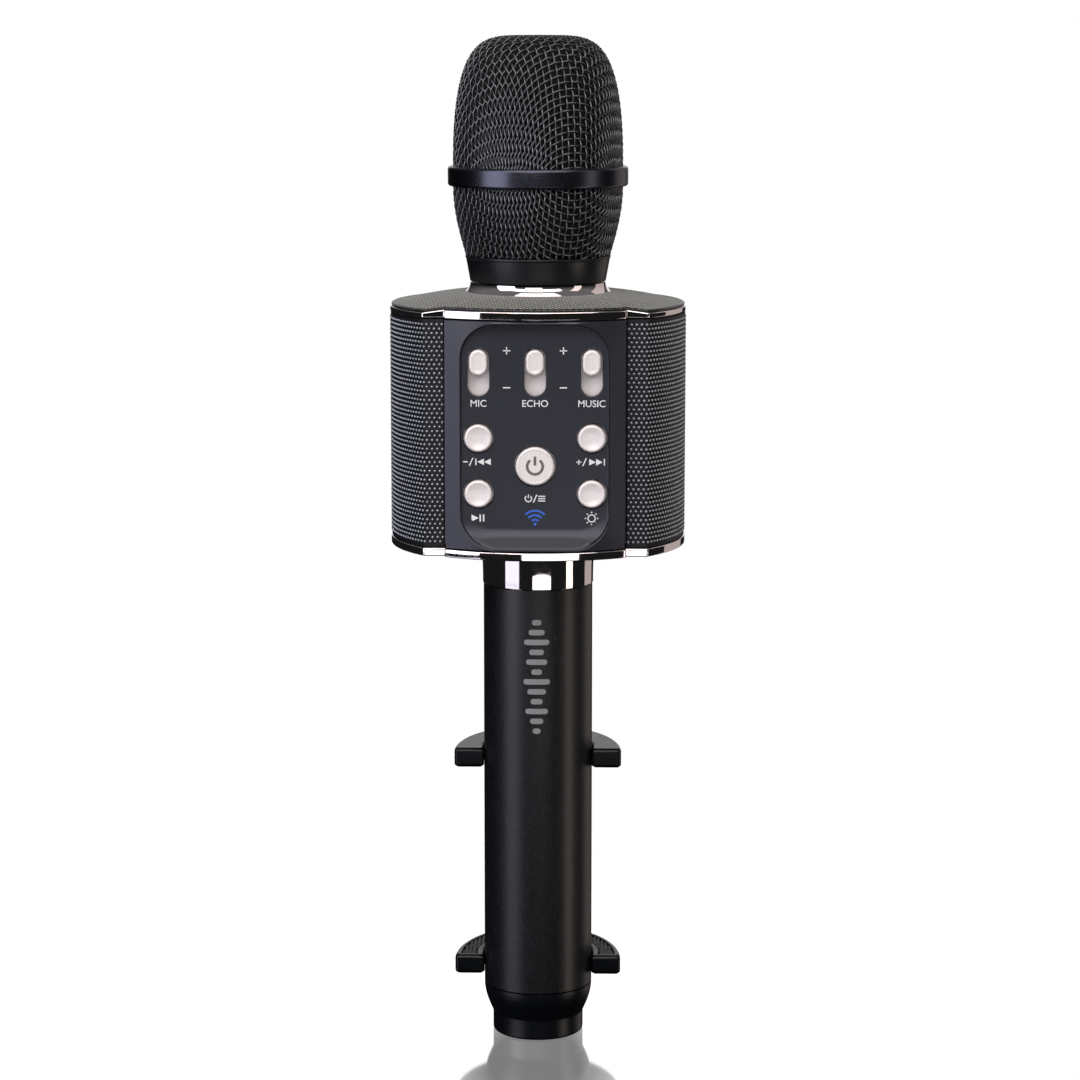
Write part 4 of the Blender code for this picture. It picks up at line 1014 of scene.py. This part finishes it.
class MICROPHONE_OT_body_ends(bpy.types.Operator):
    """Make the chrome trims, the cloth top, the floor of the body and its two screws"""

    bl_idname = "microphone.body_ends"
    bl_label = "Body Ends"

    def execute(self, context):
        drop = 0.8 * MM
        upper = trim(high("top_trim", "z"), low("top_trim", "z"), drop)
        piece("top_chrome", upper, "bright_chrome", "top_trim")
        lower = trim(high("bottom_trim", "z"), low("bottom_trim", "z"), 0)
        piece("bottom_chrome", lower, "bright_chrome", "bottom_trim")
        self.make_top(drop)
        self.make_floor()
        return {"FINISHED"}

    def make_top(self, drop):
        """Cloth stretched over a shallow dome, rolled down at its rim."""
        top, steps = high("top_cover", "z"), 14
        rim_z, bore = high("top_trim", "z"), high("neck_ring", "x") - 2.4 * MM
        rim = body_outline(0.4 * MM)
        work = bmesh.new()
        foot = [(x * 0.99, y * 0.99, rim_z - drop * strip_share(x) + 0.3 * MM) for x, y in rim]
        rings = [ring_of(work, foot)]
        roll = 0.5 * MM
        for i in range(steps + 1):
            share = (i / steps) ** 1.5
            ring = []
            for x, y in rim:
                reach = math.hypot(x, y)
                shrink = 1 + (bore / reach - 1) * share
                start = rim_z - drop * strip_share(x) + roll
                ring.append((x * shrink, y * shrink, start + (top - start) * math.sin(share * math.pi / 2)))
            rings.append(ring_of(work, ring))
        rings.append(ring_of(work, [(x * bore / math.hypot(x, y), y * bore / math.hypot(x, y), top - 2 * MM)
                                    for x, y in rim]))
        bridged(work, rings + rings[:1])
        tidy(work)
        piece("cloth_top", work, "speaker_cloth", "top_cover")
        self.make_edge(rim, drop)

    def make_edge(self, rim, drop):
        """A thin black tube along the chrome where the cloth's rolled rim falls in shade: painted shade, a
        dark strip standing in for that shadow.
        """
        radius, base = 0.45 * MM, high("top_trim", "z") + 0.35 * MM
        path = [(x * (1 - 1.1 * radius / math.hypot(x, y)), y * (1 - 1.1 * radius / math.hypot(x, y)),
                 base - drop * strip_share(x)) for x, y in rim]
        # painted shade: black tube in place of the shadow along the cloth's rolled rim
        rim_shade = tube_of([path + path[:2]], radius, 2)
        piece("cloth_rim_shade", rim_shade, "moulded_abs", slot="top_cover")

    def make_floor(self):
        bottom, top = low("bottom_cover", "z"), high("bottom_cover", "z")
        work = bmesh.new()
        stacked(work, body_outline, [(2.3 * MM, top), (2.3 * MM, bottom + 0.4 * MM), (2.7 * MM, bottom)])
        tidy(work)

        def bore(radius, place=None):
            above, below = top + MM, bottom - MM
            return turned([(0, above), (radius, above), (radius, below), (0, below)], SMALL, place=place)

        bores = [bore(7.5 * MM)]
        for side in ("left", "right"):
            x = (low("body_screw_" + side, "x") + high("body_screw_" + side, "x")) / 2
            place = Matrix.Translation((x, 0, 0))
            bores.append(bore(2.5 * MM, place))
            self.make_screw(side, place)
        piece("body_floor", carved(work, *bores), "textured_abs", "bottom_cover")

    def make_screw(self, side, place):
        node = "body_screw_" + side
        bottom, top, radius = low(node, "z"), high(node, "z"), high(node, "y")
        head, shank = 1.4 * MM, 1.1 * MM
        work = turned([(0, top), (shank, top), (shank, bottom + head), (radius, bottom + head),
                       (radius, bottom + 0.5 * MM), (radius * 0.8, bottom + 0.1 * MM), (0, bottom)], SMALL,
                      place=place)
        cross = bmesh.new()
        for long, wide in ((1.2 * MM, 0.25 * MM), (0.25 * MM, 1.2 * MM)):
            box_of(cross, (-long, -wide, bottom - MM), (long, wide, bottom + 0.8 * MM))
        cross.transform(place)
        piece(node + "_head", carved(work, cross), "plated_steel", node)


class MICROPHONE_OT_grilles(bpy.types.Operator):
    """Wrap the studded sheets round the body's sides"""

    bl_idname = "microphone.grilles"
    bl_label = "Speaker Sides"

    def execute(self, context):
        settings = context.scene.microphone_studs
        skin = settings.height
        radius, flat = BODY_RADIUS - skin, FLAT_Y - skin
        side = math.asin(flat / radius)
        inner_radius, inner_flat = BODY_RADIUS - GRILLE_WALL, FLAT_Y - GRILLE_WALL
        inner_side = math.asin(inner_flat / inner_radius)
        edge = low("grille_right", "x")
        outer = [(edge, -flat)] + arc(radius, -side, side, 56) + [(edge, flat)]
        inner = [(edge, inner_flat)] + arc(inner_radius, inner_side, -inner_side, 56) + [(edge, -inner_flat)]
        bottom, top = low("grille_right", "z"), high("grille_right", "z")
        for name, turn in (("right", 0), ("left", math.pi)):
            around = Matrix.Rotation(turn, 4, "Z")
            sheet = bmesh.new()
            stacked(sheet, lambda inset: outer + inner, [(0, bottom), (0, top)])
            sheet.transform(around)
            tidy(sheet)
            piece("grille_sheet_" + name, sheet, "grille_sheet", "grille_" + name)
            studs = self.studs(settings, radius, flat, side, edge, bottom, top)
            studs.transform(around)
            # the studs take the pale painted-highlight finish, not the black of the sheet they belong to
            piece("grille_studs_" + name, studs, "grille_stud_painted_highlight", slot="grille_" + name, crease=None)
        return {"FINISHED"}

    def studs(self, settings, radius, flat, side, edge, bottom, top):
        """Staggered rows of low eight-sided domes along the strip, the side and the other strip."""
        strip = radius * math.cos(side) - edge
        curve = 2 * side * radius
        total = 2 * strip + curve
        columns = round(total / settings.pitch)
        row_pitch = settings.pitch * math.sqrt(3) / 2
        rows = int((top - bottom - settings.radius) / row_pitch)
        margin = (top - bottom - (rows - 1) * row_pitch) / 2
        work = bmesh.new()
        for row in range(rows):
            for column in range(columns):
                run = (column + 0.25 + 0.5 * (row % 2)) * total / columns
                if run < strip:
                    spot, heading = (edge + run, -flat), -math.pi / 2
                elif run > strip + curve:
                    spot, heading = (edge + total - run, flat), math.pi / 2
                else:
                    heading = (run - strip) / radius - side
                    spot = (radius * math.cos(heading), radius * math.sin(heading))
                facing = Matrix.Rotation(heading, 4, "Z") @ Matrix.Rotation(math.pi / 2, 4, "Y")
                place = Matrix.Translation((*spot, bottom + margin + row * row_pitch))
                bmesh.ops.create_cone(
                    work, cap_ends=True, segments=8, radius1=settings.radius, radius2=settings.radius * 0.45,
                    depth=2 * settings.height, matrix=place @ facing,
                )
        return work


# Front panel


def frame_outline(mouth, half_width, half_height):
    """The rectangle's edge opposite each point of the mouth inside it."""
    points = []
    for x, z in mouth:
        reach = min(half_width / max(abs(x), 1e-9), half_height / max(abs(z), 1e-9))
        points.append((x * reach, z * reach))
    return points


class MICROPHONE_OT_panel(bpy.types.Operator):
    """Mould the curved front panel with its recess, slots and button holes"""

    bl_idname = "microphone.panel"
    bl_label = "Front Panel"

    def execute(self, context):
        bottom, top, half = SHELL_Z, SHELL_TOP_Z, PANEL_HALF
        mouth_low, mouth_high, mouth_half = bottom + 0.5 * MM, top - 1 * MM, 19.5 * MM
        centre, tall = (mouth_low + mouth_high) / 2, mouth_high - mouth_low
        ramp, deep = 5.2 * MM, -FLOOR_Y
        inner, back = deep - 2 * MM, high("control_panel", "y")

        def bulge(x):
            return math.sqrt(PANEL_RADIUS**2 - x**2) - PANEL_CENTRE_Y

        def mouth(inset):
            return rounded(2 * (mouth_half - inset), tall - 2 * inset, 9 * MM - inset, 12)

        def at_depth(points, rise):
            """Points of the recess wall, a curved ramp from the floor at 0 to the front at 1."""
            squeeze, lift = 1 - ramp / tall * (1 - rise), ramp / 2 * (1 - rise)
            return [(x, -(deep + (bulge(x) - deep) * rise**2), centre + z * squeeze + lift)
                    for x, z in points]

        work = bmesh.new()
        middle = (bottom + top) / 2
        border = frame_outline([(x, z + centre - middle) for x, z in mouth(0)], half, (top - bottom) / 2)
        edge = 0.35 * MM
        shrink = 1 - edge / (top - bottom) * 2
        outer = [
            [(x, back, middle + z) for x, z in border],
            [(x, edge - bulge(x), middle + z) for x, z in border],
            [(x * (1 - 0.1 * MM / half), 0.1 * MM - bulge(x), middle + z * 0.997) for x, z in border],
            [(x * (1 - edge / half), -bulge(x), middle + z * shrink) for x, z in border],
        ]
        rings = [ring_of(work, ring) for ring in outer]
        lip = 0.45 * MM
        for grow, drop in reversed(fillet(lip)):
            points = mouth(-grow) if grow else mouth(0)
            rings.append(ring_of(work, [(x, y + drop, z) for x, y, z in at_depth(points, 1)]))
        for step in range(1, 9):
            rings.append(ring_of(work, at_depth(mouth(0.05 * MM * step), 1 - step / 9)))
        rings.append(ring_of(work, at_depth(mouth(0.7 * MM), 0.06)))
        rings.append(ring_of(work, at_depth(mouth(1.0 * MM), 0)))
        bridged(work, rings)
        wider, taller = (half - 2.5 * MM) / mouth_half, (top - bottom - 1.8 * MM) / tall
        rear = [ring_of(work, [(x * wider, y, middle + z * taller) for x, z in mouth(0)])
                for y in (-inner, back)]
        bridged(work, [rings[0], rear[1], rear[0]])
        for edges in (rings[-1], rear[0]):
            bmesh.ops.contextual_create(work, geom=edges)
        tidy(work)
        cutters = []
        for outline, (x, z) in self.openings():
            cutter = bmesh.new()
            stacked(cutter, outline, [
                (0, inner - MM), (0, deep - 0.2 * MM), (0.06 * MM, deep - 0.06 * MM),
                (0.2 * MM, deep + 0.01 * MM), (0.2 * MM, deep + MM),
            ])
            cutter.transform(facing_front(x, z))
            tidy(cutter)
            cutters.append(cutter)
        work = carved(work, *cutters)
        tidy(work)
        made = piece("front_panel", work, "painted_panel", "control_panel")
        spots = made.data.vertices
        for edge in made.data.edges:
            if all(abs(spots[i].co.y - FLOOR_Y) < 0.02 * MM for i in edge.vertices):
                edge.use_edge_sharp = True
        return {"FINISHED"}

    def openings(self):
        """(outline by how far it grows, middle) of the slots and the button holes."""
        gap = 0.5 * MM
        found = []
        for use in SLIDERS:
            x = (low("slider_" + use, "x") + high("slider_" + use, "x")) / 2
            width = 5.65 * MM
            foot, top = low("slider_" + use, "z") + gap, high("slider_" + use, "z") - 5 * MM - gap
            found.append((
                lambda grow, w=width, h=top - foot: rounded(w + 2 * grow, h + 2 * grow, w / 2 + grow, 10),
                (x, (foot + top) / 2),
            ))
        for use in BUTTONS:
            node = "button_" + use
            radius = (high(node, "x") - low(node, "x")) / 2 - 0.7 * MM
            middle = ((low(node, "x") + high(node, "x")) / 2, (low(node, "z") + high(node, "z")) / 2)
            found.append((lambda grow, r=radius: arc(r + grow, 0, math.tau, SMALL)[:-1], middle))
        return found


class MICROPHONE_OT_controls(bpy.types.Operator):
    """Make the three sliders and the five buttons"""

    bl_idname = "microphone.controls"
    bl_label = "Sliders and Buttons"

    def execute(self, context):
        for use in SLIDERS:
            self.make_slider(use)
        for use in BUTTONS:
            self.make_button(use)
        return {"FINISHED"}

    def make_slider(self, use):
        """A dished stadium grip on a flat skirt that keeps the slot covered."""
        node = "slider_" + use
        x = (low(node, "x") + high(node, "x")) / 2
        skirt_low, skirt_high = low(node, "z"), high(node, "z")
        face, back = -low(node, "y"), -high(node, "y")
        skirt_face = -FLOOR_Y - 2.3 * MM
        width, length = 4.65 * MM, 6.75 * MM
        z = skirt_high - 5 * MM - 1 * MM - length / 2
        middle = (skirt_low + skirt_high) / 2 - z
        work = bmesh.new()
        stacked(work, lambda inset: rounded(6.65 * MM, skirt_high - skirt_low, 0.5 * MM, 4, (0, middle)),
                [(0, skirt_face - 0.8 * MM), (0, skirt_face)])
        levels = [(0, skirt_face - 0.3 * MM), *[(inset, face - drop) for inset, drop in fillet(0.55 * MM, 5)]]
        levels += [(0.75 * MM, face), (0.95 * MM, face - 0.06 * MM), (1.5 * MM, face - 0.16 * MM)]
        stacked(
            work, lambda inset: rounded(width - 2 * inset, length - 2 * inset, width / 2 - inset - 1e-6, 10),
            levels,
        )
        stem = [(0, back), (0, skirt_face - 0.5 * MM)]
        stacked(work, lambda inset: rounded(1.2 * MM, 2.4 * MM, 0.3 * MM, 3), stem)
        work.transform(facing_front(x, z))
        tidy(work)
        piece(node + "_grip", work, "metallised_plastic", node, body=use + "_slider")

    def make_button(self, use):
        """A flat face inside a bright chamfer, on a flange behind the panel."""
        node = "button_" + use
        x, z = (low(node, "x") + high(node, "x")) / 2, (low(node, "z") + high(node, "z")) / 2
        flange, top, back = high(node, "x") - x, -low(node, "y"), -high(node, "y")
        radius = flange - 1.15 * MM
        groove = radius - 0.75 * MM
        lip = back + 0.8 * MM
        profile = [(0, back), (flange, back), (flange, lip), (radius, lip), (radius, top - 0.45 * MM),
                   (radius - 0.12 * MM, top - 0.2 * MM), (radius - 0.35 * MM, top - 0.04 * MM),
                   (radius - 0.5 * MM, top), (groove, top - 0.03 * MM), (groove - 0.12 * MM, top - 0.1 * MM),
                   (0, top - 0.1 * MM)]
        work = turned(profile, 64, place=facing_front(x, z))
        piece(node + "_cap", work, "metallised_plastic", node, body=use + "_button")


# Legends


def stamped(shapes, thick=PROUD):
    """Flat shapes, each an outline in X and Z, as thin solids that face -Y at Y 0."""
    work = bmesh.new()
    for shape in shapes:
        stacked(work, lambda inset, shape=shape: shape, [(0, -thick), (0, thick)])
    work.transform(Matrix.Rotation(math.pi / 2, 4, "X"))
    tidy(work)
    return work


def bar(x, z, width, height):
    return [(x - width / 2, z - height / 2), (x + width / 2, z - height / 2), (x + width / 2, z + height / 2),
            (x - width / 2, z + height / 2)]


def wedge(x, z, size, way):
    """A triangle that points left or right."""
    return [(x - way * size / 2, z - size / 2), (x + way * size / 2, z), (x - way * size / 2, z + size / 2)]


def bow(radius, wide, start, end, centre=(0, 0), steps=24):
    """A stretch of a ring."""
    outer, inner = radius + wide / 2, radius - wide / 2
    return arc(outer, start, end, steps, centre) + arc(inner, end, start, steps, centre)


def slash(x, z, height):
    lean, wide = height * 0.22, 0.16 * MM
    return [(x - lean - wide, z - height / 2), (x - lean + wide, z - height / 2),
            (x + lean + wide, z + height / 2), (x + lean - wide, z + height / 2)]


def power_sign(radius, wide, centre=(0, 0)):
    gap = math.radians(38)
    return [bow(radius, wide, math.pi / 2 + gap, math.pi / 2 + math.tau - gap, centre, 36),
            bar(centre[0], centre[1] + radius * 0.72, wide, radius * 1.15)]


def ring_shape(radius, wide, centre=(0, 0)):
    """Two halves of a ring."""
    return [bow(radius, wide, 0, math.pi, centre), bow(radius, wide, math.pi, math.tau, centre)]


class MICROPHONE_OT_legends(bpy.types.Operator):
    """Print the panel's generic words and signs, and inlay the power sign"""

    bl_idname = "microphone.legends"
    bl_label = "Legends"

    def execute(self, context):
        left, right = self.column("previous"), self.column("next")
        slots = {use: (low("slider_" + use, "x") + high("slider_" + use, "x")) / 2 for use in SLIDERS}
        word_z = low("slider_mic", "z") - 1.5 * MM
        for use in SLIDERS:
            self.print_word(use, slots[use], word_z)
        step_z = 9.7 * MM
        signs = []
        for x in (slots["echo"] / 2 + slots["mic"] / 2, slots["echo"] / 2 + slots["music"] / 2):
            high_z = high("slider_mic", "z") - 6.3 * MM
            signs += [bar(x, high_z, 1.9 * MM, 0.3 * MM), bar(x, high_z, 0.3 * MM, 1.9 * MM),
                      bar(x, high_z - step_z, 1.9 * MM, 0.32 * MM)]
        size, wide = 1.75 * MM, 0.3 * MM
        row = left[1] - 6.3 * MM
        for (x, _), way in ((left, -1), (right, 1)):
            signs += [bar(x - 3.4 * MM, row, 1.3 * MM, wide), slash(x - 1.9 * MM, row, 2.1 * MM)]
            if way > 0:
                signs.append(bar(x - 3.4 * MM, row, wide, 1.3 * MM))
            first = x + (-0.65 if way < 0 else 3.3) * MM
            signs += [bar(first, row, wide, size), wedge(x + (0.6 if way < 0 else 0.2) * MM, row, size, way),
                      wedge(x + (2.4 if way < 0 else 2.0) * MM, row, size, way)]
        power = self.column("power")
        row = power[1] - 8.65 * MM
        signs += power_sign(0.85 * MM, 0.28 * MM, (power[0] - 1.75 * MM, row))
        signs.append(slash(power[0], row, 2.1 * MM))
        signs += [bar(power[0] + 1.75 * MM, row + step * 0.62 * MM, 1.9 * MM, 0.3 * MM)
                  for step in (-1, 0, 1)]
        play = self.column("play")
        row = play[1] - 6.5 * MM
        signs.append(wedge(play[0] - 0.9 * MM, row, 1.9 * MM, 1))
        signs += [bar(play[0] + place * MM, row, 0.38 * MM, 1.9 * MM) for place in (0.45, 1.35)]
        light = self.column("light")
        row = light[1] - 6.5 * MM
        signs += ring_shape(0.95 * MM, 0.28 * MM, (light[0], row))
        for i in range(8):
            turn = math.pi / 4 * i
            signs.append(arc(0.2 * MM, 0, math.tau, 10, (light[0] + 1.62 * MM * math.cos(turn),
                                                         row + 1.62 * MM * math.sin(turn)))[:-1])
        self.print_signs("panel_signs", signs, "white_ink")
        waves = [arc(0.42 * MM, 0, math.tau, 16, (power[0], row - 1.6 * MM))[:-1]]
        for i in (1, 2, 3):
            waves.append(bow(1.2 * MM * i, 0.55 * MM, math.radians(45), math.radians(135),
                             (power[0], row - 1.6 * MM)))
        self.print_signs("wireless_sign", waves, "blue_ink")
        face = -low("button_power", "y") - 0.1 * MM
        inlay = stamped(power_sign(2.05 * MM, 0.7 * MM), 0.06 * MM)
        inlay.transform(Matrix.Translation((power[0], -face, power[1])))
        piece("power_inlay", inlay, "shaded_inlay", body="power_button", slot="button_power")
        return {"FINISHED"}

    def column(self, use):
        node = "button_" + use
        return (low(node, "x") + high(node, "x")) / 2, (low(node, "z") + high(node, "z")) / 2

    def print_signs(self, name, shapes, finish):
        work = stamped(shapes)
        work.transform(Matrix.Translation((0, FLOOR_Y, 0)))
        piece(name, work, finish, slot="control_panel")

    def print_word(self, use, x, z):
        """A generic name for the slider's use, as a mesh made from text."""
        text = bpy.data.curves.new("word", "FONT")
        text.body = use.upper()
        text.size = 2.55 * MM
        text.align_x, text.align_y = "CENTER", "CENTER"
        text.extrude = PROUD
        text.offset = 0.012 * MM
        made = bpy.data.objects.new("word", text)
        bpy.context.scene.collection.objects.link(made)
        bpy.context.view_layer.update()
        work = evaluated(made)
        bpy.data.curves.remove(text)
        work.transform(Matrix.Translation((x, FLOOR_Y, z)) @ Matrix.Rotation(math.pi / 2, 4, "X"))
        tidy(work)
        piece("word_" + use, work, "white_ink", slot="control_panel")


class MICROPHONE_OT_back(bpy.types.Operator):
    """Mould the rear panel with its socket openings, and finish the pieces that keep their shape"""

    bl_idname = "microphone.back"
    bl_label = "Rear Panel"

    def execute(self, context):
        near, half, wall = low("back_panel", "y"), PANEL_HALF, 2 * MM
        bottom, top = low("back_panel", "z"), high("back_panel", "z")
        inner = [(x, y) for x, y in panel_arc(wall)][::-1]
        left, right = [(-half, near), (wall - half, near)], [(half - wall, near), (half, near)]
        plan = panel_arc(0) + left + inner + right
        work = bmesh.new()
        stacked(work, lambda inset: plan, [(0, bottom), (0, top)])
        tidy(work)
        soften(work, 0.35 * MM, choose=lambda spot: spot.y > near + MM and math.hypot(
            spot.x, spot.y + PANEL_CENTRE_Y) > PANEL_RADIUS - 0.5 * MM)
        openings = []
        gap = 0.3 * MM
        for node in ("usb_socket", "card_socket", "audio_socket"):
            x, z = (low(node, "x") + high(node, "x")) / 2, (low(node, "z") + high(node, "z")) / 2
            wide, tall = (high(node, axis) - low(node, axis) + 2 * gap for axis in "xz")
            corner = min(tall / 3, 1.1 * MM) if wide > 1.5 * tall else tall / 2 - 1e-6
            cutter = bmesh.new()
            stacked(cutter, lambda inset: rounded(wide, tall, corner, 8, (0, 0)),
                    [(0, -near - 30 * MM), (0, 0)])
            cutter.transform(facing_front(x, z))
            tidy(cutter)
            openings.append(cutter)
        piece("rear_panel", carved(work, *openings), "painted_panel", "back_panel")
        for node, finish in KEPT_NODES.items():
            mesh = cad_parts[node].data
            mesh.materials.clear()
            mesh.materials.append(finished(finish))
        return {"FINISHED"}


# Stage


class MICROPHONE_OT_stage(bpy.types.Operator):
    """Set the camera, the lights, the pale floor and the white background"""

    bl_idname = "microphone.stage"
    bl_label = "Stage"

    def execute(self, context):
        settings = context.scene.microphone_stage
        context.scene.view_settings.view_transform = "Standard"
        self.place_camera(settings)
        self.make_world(settings)
        self.make_floor(settings)
        for row in self.LIGHTS:
            self.add_light(*row)
        return {"FINISHED"}

    # name, azimuth, height of its middle, distance, width, height, strength, colour
    LIGHTS = (
        ("left_high", -54, 0.33, 0.60, 0.36, 0.60, 2.7, "f4f3ff"),
        ("left_low", -54, -0.12, 0.60, 0.34, 0.28, 1.3, "eef0ff"),
        ("right_high", 72, 0.36, 0.60, 0.16, 0.54, 1.0, "fff4ec"),
        ("right_low", 70, -0.08, 0.60, 0.16, 0.34, 2.2, "fff1e6"),
        ("right_rim", 132, 0.20, 0.60, 0.36, 0.90, 0.45, "fff0ea"),
        ("front_box", 0, 0.75, 0.70, 1.30, 0.36, 3.6, "fffdfb"),
        ("front_fill", -6, 0.44, 0.80, 0.40, 0.16, 4.5, "ffffff"),
        ("front_card", 9, 0.048, 0.50, 0.34, 0.070, 1.8, "ffffff"),
        ("high_card", -31, 0.112, 0.50, 0.30, 0.030, 2.2, "ffffff"),
        ("top_box", 0, 0.95, 0.10, 0.60, 0.60, 1.6, "fff8ec"),
    )

    def place_camera(self, settings):
        data = bpy.data.cameras.new("camera")
        data.lens, data.sensor_width = settings.lens, 36
        data.shift_x = 0.0018
        camera = bpy.data.objects.new("camera", data)
        bpy.context.scene.collection.objects.link(camera)
        aim = Vector((0, 0, 138.5 * MM))
        turn, tip = settings.azimuth, settings.pitch
        back = Vector((math.sin(turn) * math.cos(tip), -math.cos(turn) * math.cos(tip), math.sin(tip)))
        camera.location = aim + back * settings.distance
        camera.rotation_euler = (-back).to_track_quat("-Z", "Y").to_euler()
        bpy.context.scene.camera = camera

    def add_light(self, name, azimuth, height, distance, width, tall, strength, colour):
        data = bpy.data.lights.new(name, "AREA")
        data.shape, data.size, data.size_y = "RECTANGLE", width, tall
        data.energy = strength * math.pi * width * tall
        data.color = linear(colour)[:3]
        made = bpy.data.objects.new(name, data)
        bpy.context.scene.collection.objects.link(made)
        turn = math.radians(azimuth)
        made.location = (math.sin(turn) * distance, -math.cos(turn) * distance, height)
        aim = Vector((0, 0, min(height, 0.2)))
        made.rotation_euler = (Vector(made.location) - aim).to_track_quat("Z", "Y").to_euler()

    def make_world(self, settings):
        """White for the camera, and for the rest a dark room with a bright card far behind the object."""
        world = bpy.data.worlds.new("studio")
        bpy.context.scene.world = world
        world.use_nodes = True
        tree = world.node_tree
        tree.nodes.clear()
        path = add(tree, "ShaderNodeLightPath")
        view = add(tree, "ShaderNodeTexCoord").outputs["Generated"]
        behind = (0, math.cos(settings.pitch), math.sin(settings.pitch))
        towards = add(tree, "ShaderNodeVectorMath", {0: view, 1: behind}, operation="DOT_PRODUCT")
        glow = add(
            tree, "ShaderNodeMapRange",
            {"Value": towards.outputs["Value"], "From Min": math.cos(math.radians(22)),
             "From Max": math.cos(math.radians(13)), "To Min": 0.01, "To Max": 1.0},
        )
        height = add(tree, "ShaderNodeSeparateXYZ", {"Vector": view})
        room = add(
            tree, "ShaderNodeMapRange",
            {"Value": height.outputs["Z"], "From Min": 0.0, "From Max": 0.5, "To Min": 0.0, "To Max": 0.14},
        )
        lit = add(tree, "ShaderNodeMath", {0: glow.outputs["Result"], 1: room.outputs["Result"]},
                  operation="MAXIMUM")
        level = add(
            tree, "ShaderNodeMath", {0: path.outputs["Is Camera Ray"], 1: lit.outputs[0]}, operation="MAXIMUM"
        )
        mix = add(tree, "ShaderNodeBackground", {"Color": (1, 1, 1, 1), "Strength": level.outputs[0]})
        add(tree, "ShaderNodeOutputWorld", {"Surface": mix.outputs[0]})

    def make_floor(self, settings):
        """A pale disc with a glossy patch before the foot, that melts into the white background."""
        work = bmesh.new()
        bmesh.ops.create_circle(work, cap_ends=True, segments=128, radius=0.12)
        floor = drawn("floor", work)
        made, tree, shader, place = surface("pale_acrylic", "ffffff", 0.06, 1.0)
        patch = add(
            tree, "ShaderNodeMapping", {"Vector": place, "Location": (0, 0.03, 0), "Scale": (2.0, 1, 1)}
        )
        far = add(tree, "ShaderNodeVectorMath", {0: patch.outputs["Vector"]}, operation="LENGTH")
        reach = add(tree, "ShaderNodeVectorMath", {0: place}, operation="LENGTH").outputs["Value"]
        milk = add(
            tree, "ShaderNodeMapRange",
            {"Value": far.outputs["Value"], "From Min": 0.025, "From Max": 0.085, "To Min": 0.2,
             "To Max": 1.0},
        )
        colour = add(
            tree, "ShaderNodeMapRange",
            {"Value": far.outputs["Value"], "From Min": 0.025, "From Max": 0.085, "To Min": 0.8,
             "To Max": 0.0},
        )
        haze = add(tree, "ShaderNodeTexNoise", {"Vector": place, "Scale": 30.0})
        gloss = add(
            tree, "ShaderNodeMapRange",
            {"Value": haze.outputs["Fac"], "From Min": 0.3, "From Max": 0.7, "To Min": 0.05, "To Max": 0.09},
        )
        tree.links.new(gloss.outputs["Result"], shader.inputs["Roughness"])
        tree.links.new(colour.outputs["Result"], shader.inputs["Base Color"])
        shader.inputs["Emission Color"].default_value = (*settings.floor, 1)
        tree.links.new(milk.outputs["Result"], shader.inputs["Emission Strength"])
        fade = add(
            tree, "ShaderNodeMapRange",
            {"Value": reach, "From Min": 0.075, "From Max": 0.118, "To Min": 0.0, "To Max": 1.0},
            interpolation_type="SMOOTHSTEP",
        )
        clear = add(tree, "ShaderNodeBsdfTransparent")
        mix = add(tree, "ShaderNodeMixShader",
                  {0: fade.outputs["Result"], 1: shader.outputs["BSDF"], 2: clear.outputs[0]})
        tree.links.new(mix.outputs[0], tree.nodes["Material Output"].inputs["Surface"])
        floor.data.materials.append(made)
        floor.visible_glossy = floor.visible_diffuse = False


class MICROPHONE_PT_panel(bpy.types.Panel):
    """The microphone's pieces in the 3D view's sidebar"""

    bl_idname = "MICROPHONE_PT_panel"
    bl_label = "Karaoke Microphone"
    bl_space_type = "VIEW_3D"
    bl_region_type = "UI"
    bl_category = "Microphone"

    def draw(self, context):
        for operator in OPERATORS:
            self.layout.operator(operator.bl_idname)
        for settings in SETTINGS:
            group = getattr(context.scene, settings)
            for name in group.__annotations__:
                self.layout.prop(group, name)


OPERATORS = (
    MICROPHONE_OT_stage, MICROPHONE_OT_handle, MICROPHONE_OT_clamp, MICROPHONE_OT_body_ends,
    MICROPHONE_OT_grilles, MICROPHONE_OT_panel, MICROPHONE_OT_controls, MICROPHONE_OT_legends,
    MICROPHONE_OT_back, MICROPHONE_OT_rings, MICROPHONE_OT_nets,
)
SETTINGS = {
    "microphone_nets": NetSettings, "microphone_studs": StudSettings, "microphone_stage": StageSettings,
}


def register():
    for kind in (*SETTINGS.values(), *OPERATORS, MICROPHONE_PT_panel):
        bpy.utils.register_class(kind)
    for name, kind in SETTINGS.items():
        setattr(bpy.types.Scene, name, PointerProperty(type=kind))


def unregister():
    for name in SETTINGS:
        delattr(bpy.types.Scene, name)
    for kind in (MICROPHONE_PT_panel, *reversed(OPERATORS), *SETTINGS.values()):
        bpy.utils.unregister_class(kind)


def main():
    register()
    for operator in OPERATORS:
        family, name = operator.bl_idname.split(".")
        getattr(getattr(bpy.ops, family), name)()
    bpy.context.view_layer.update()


if __name__ == "__main__":
    main()
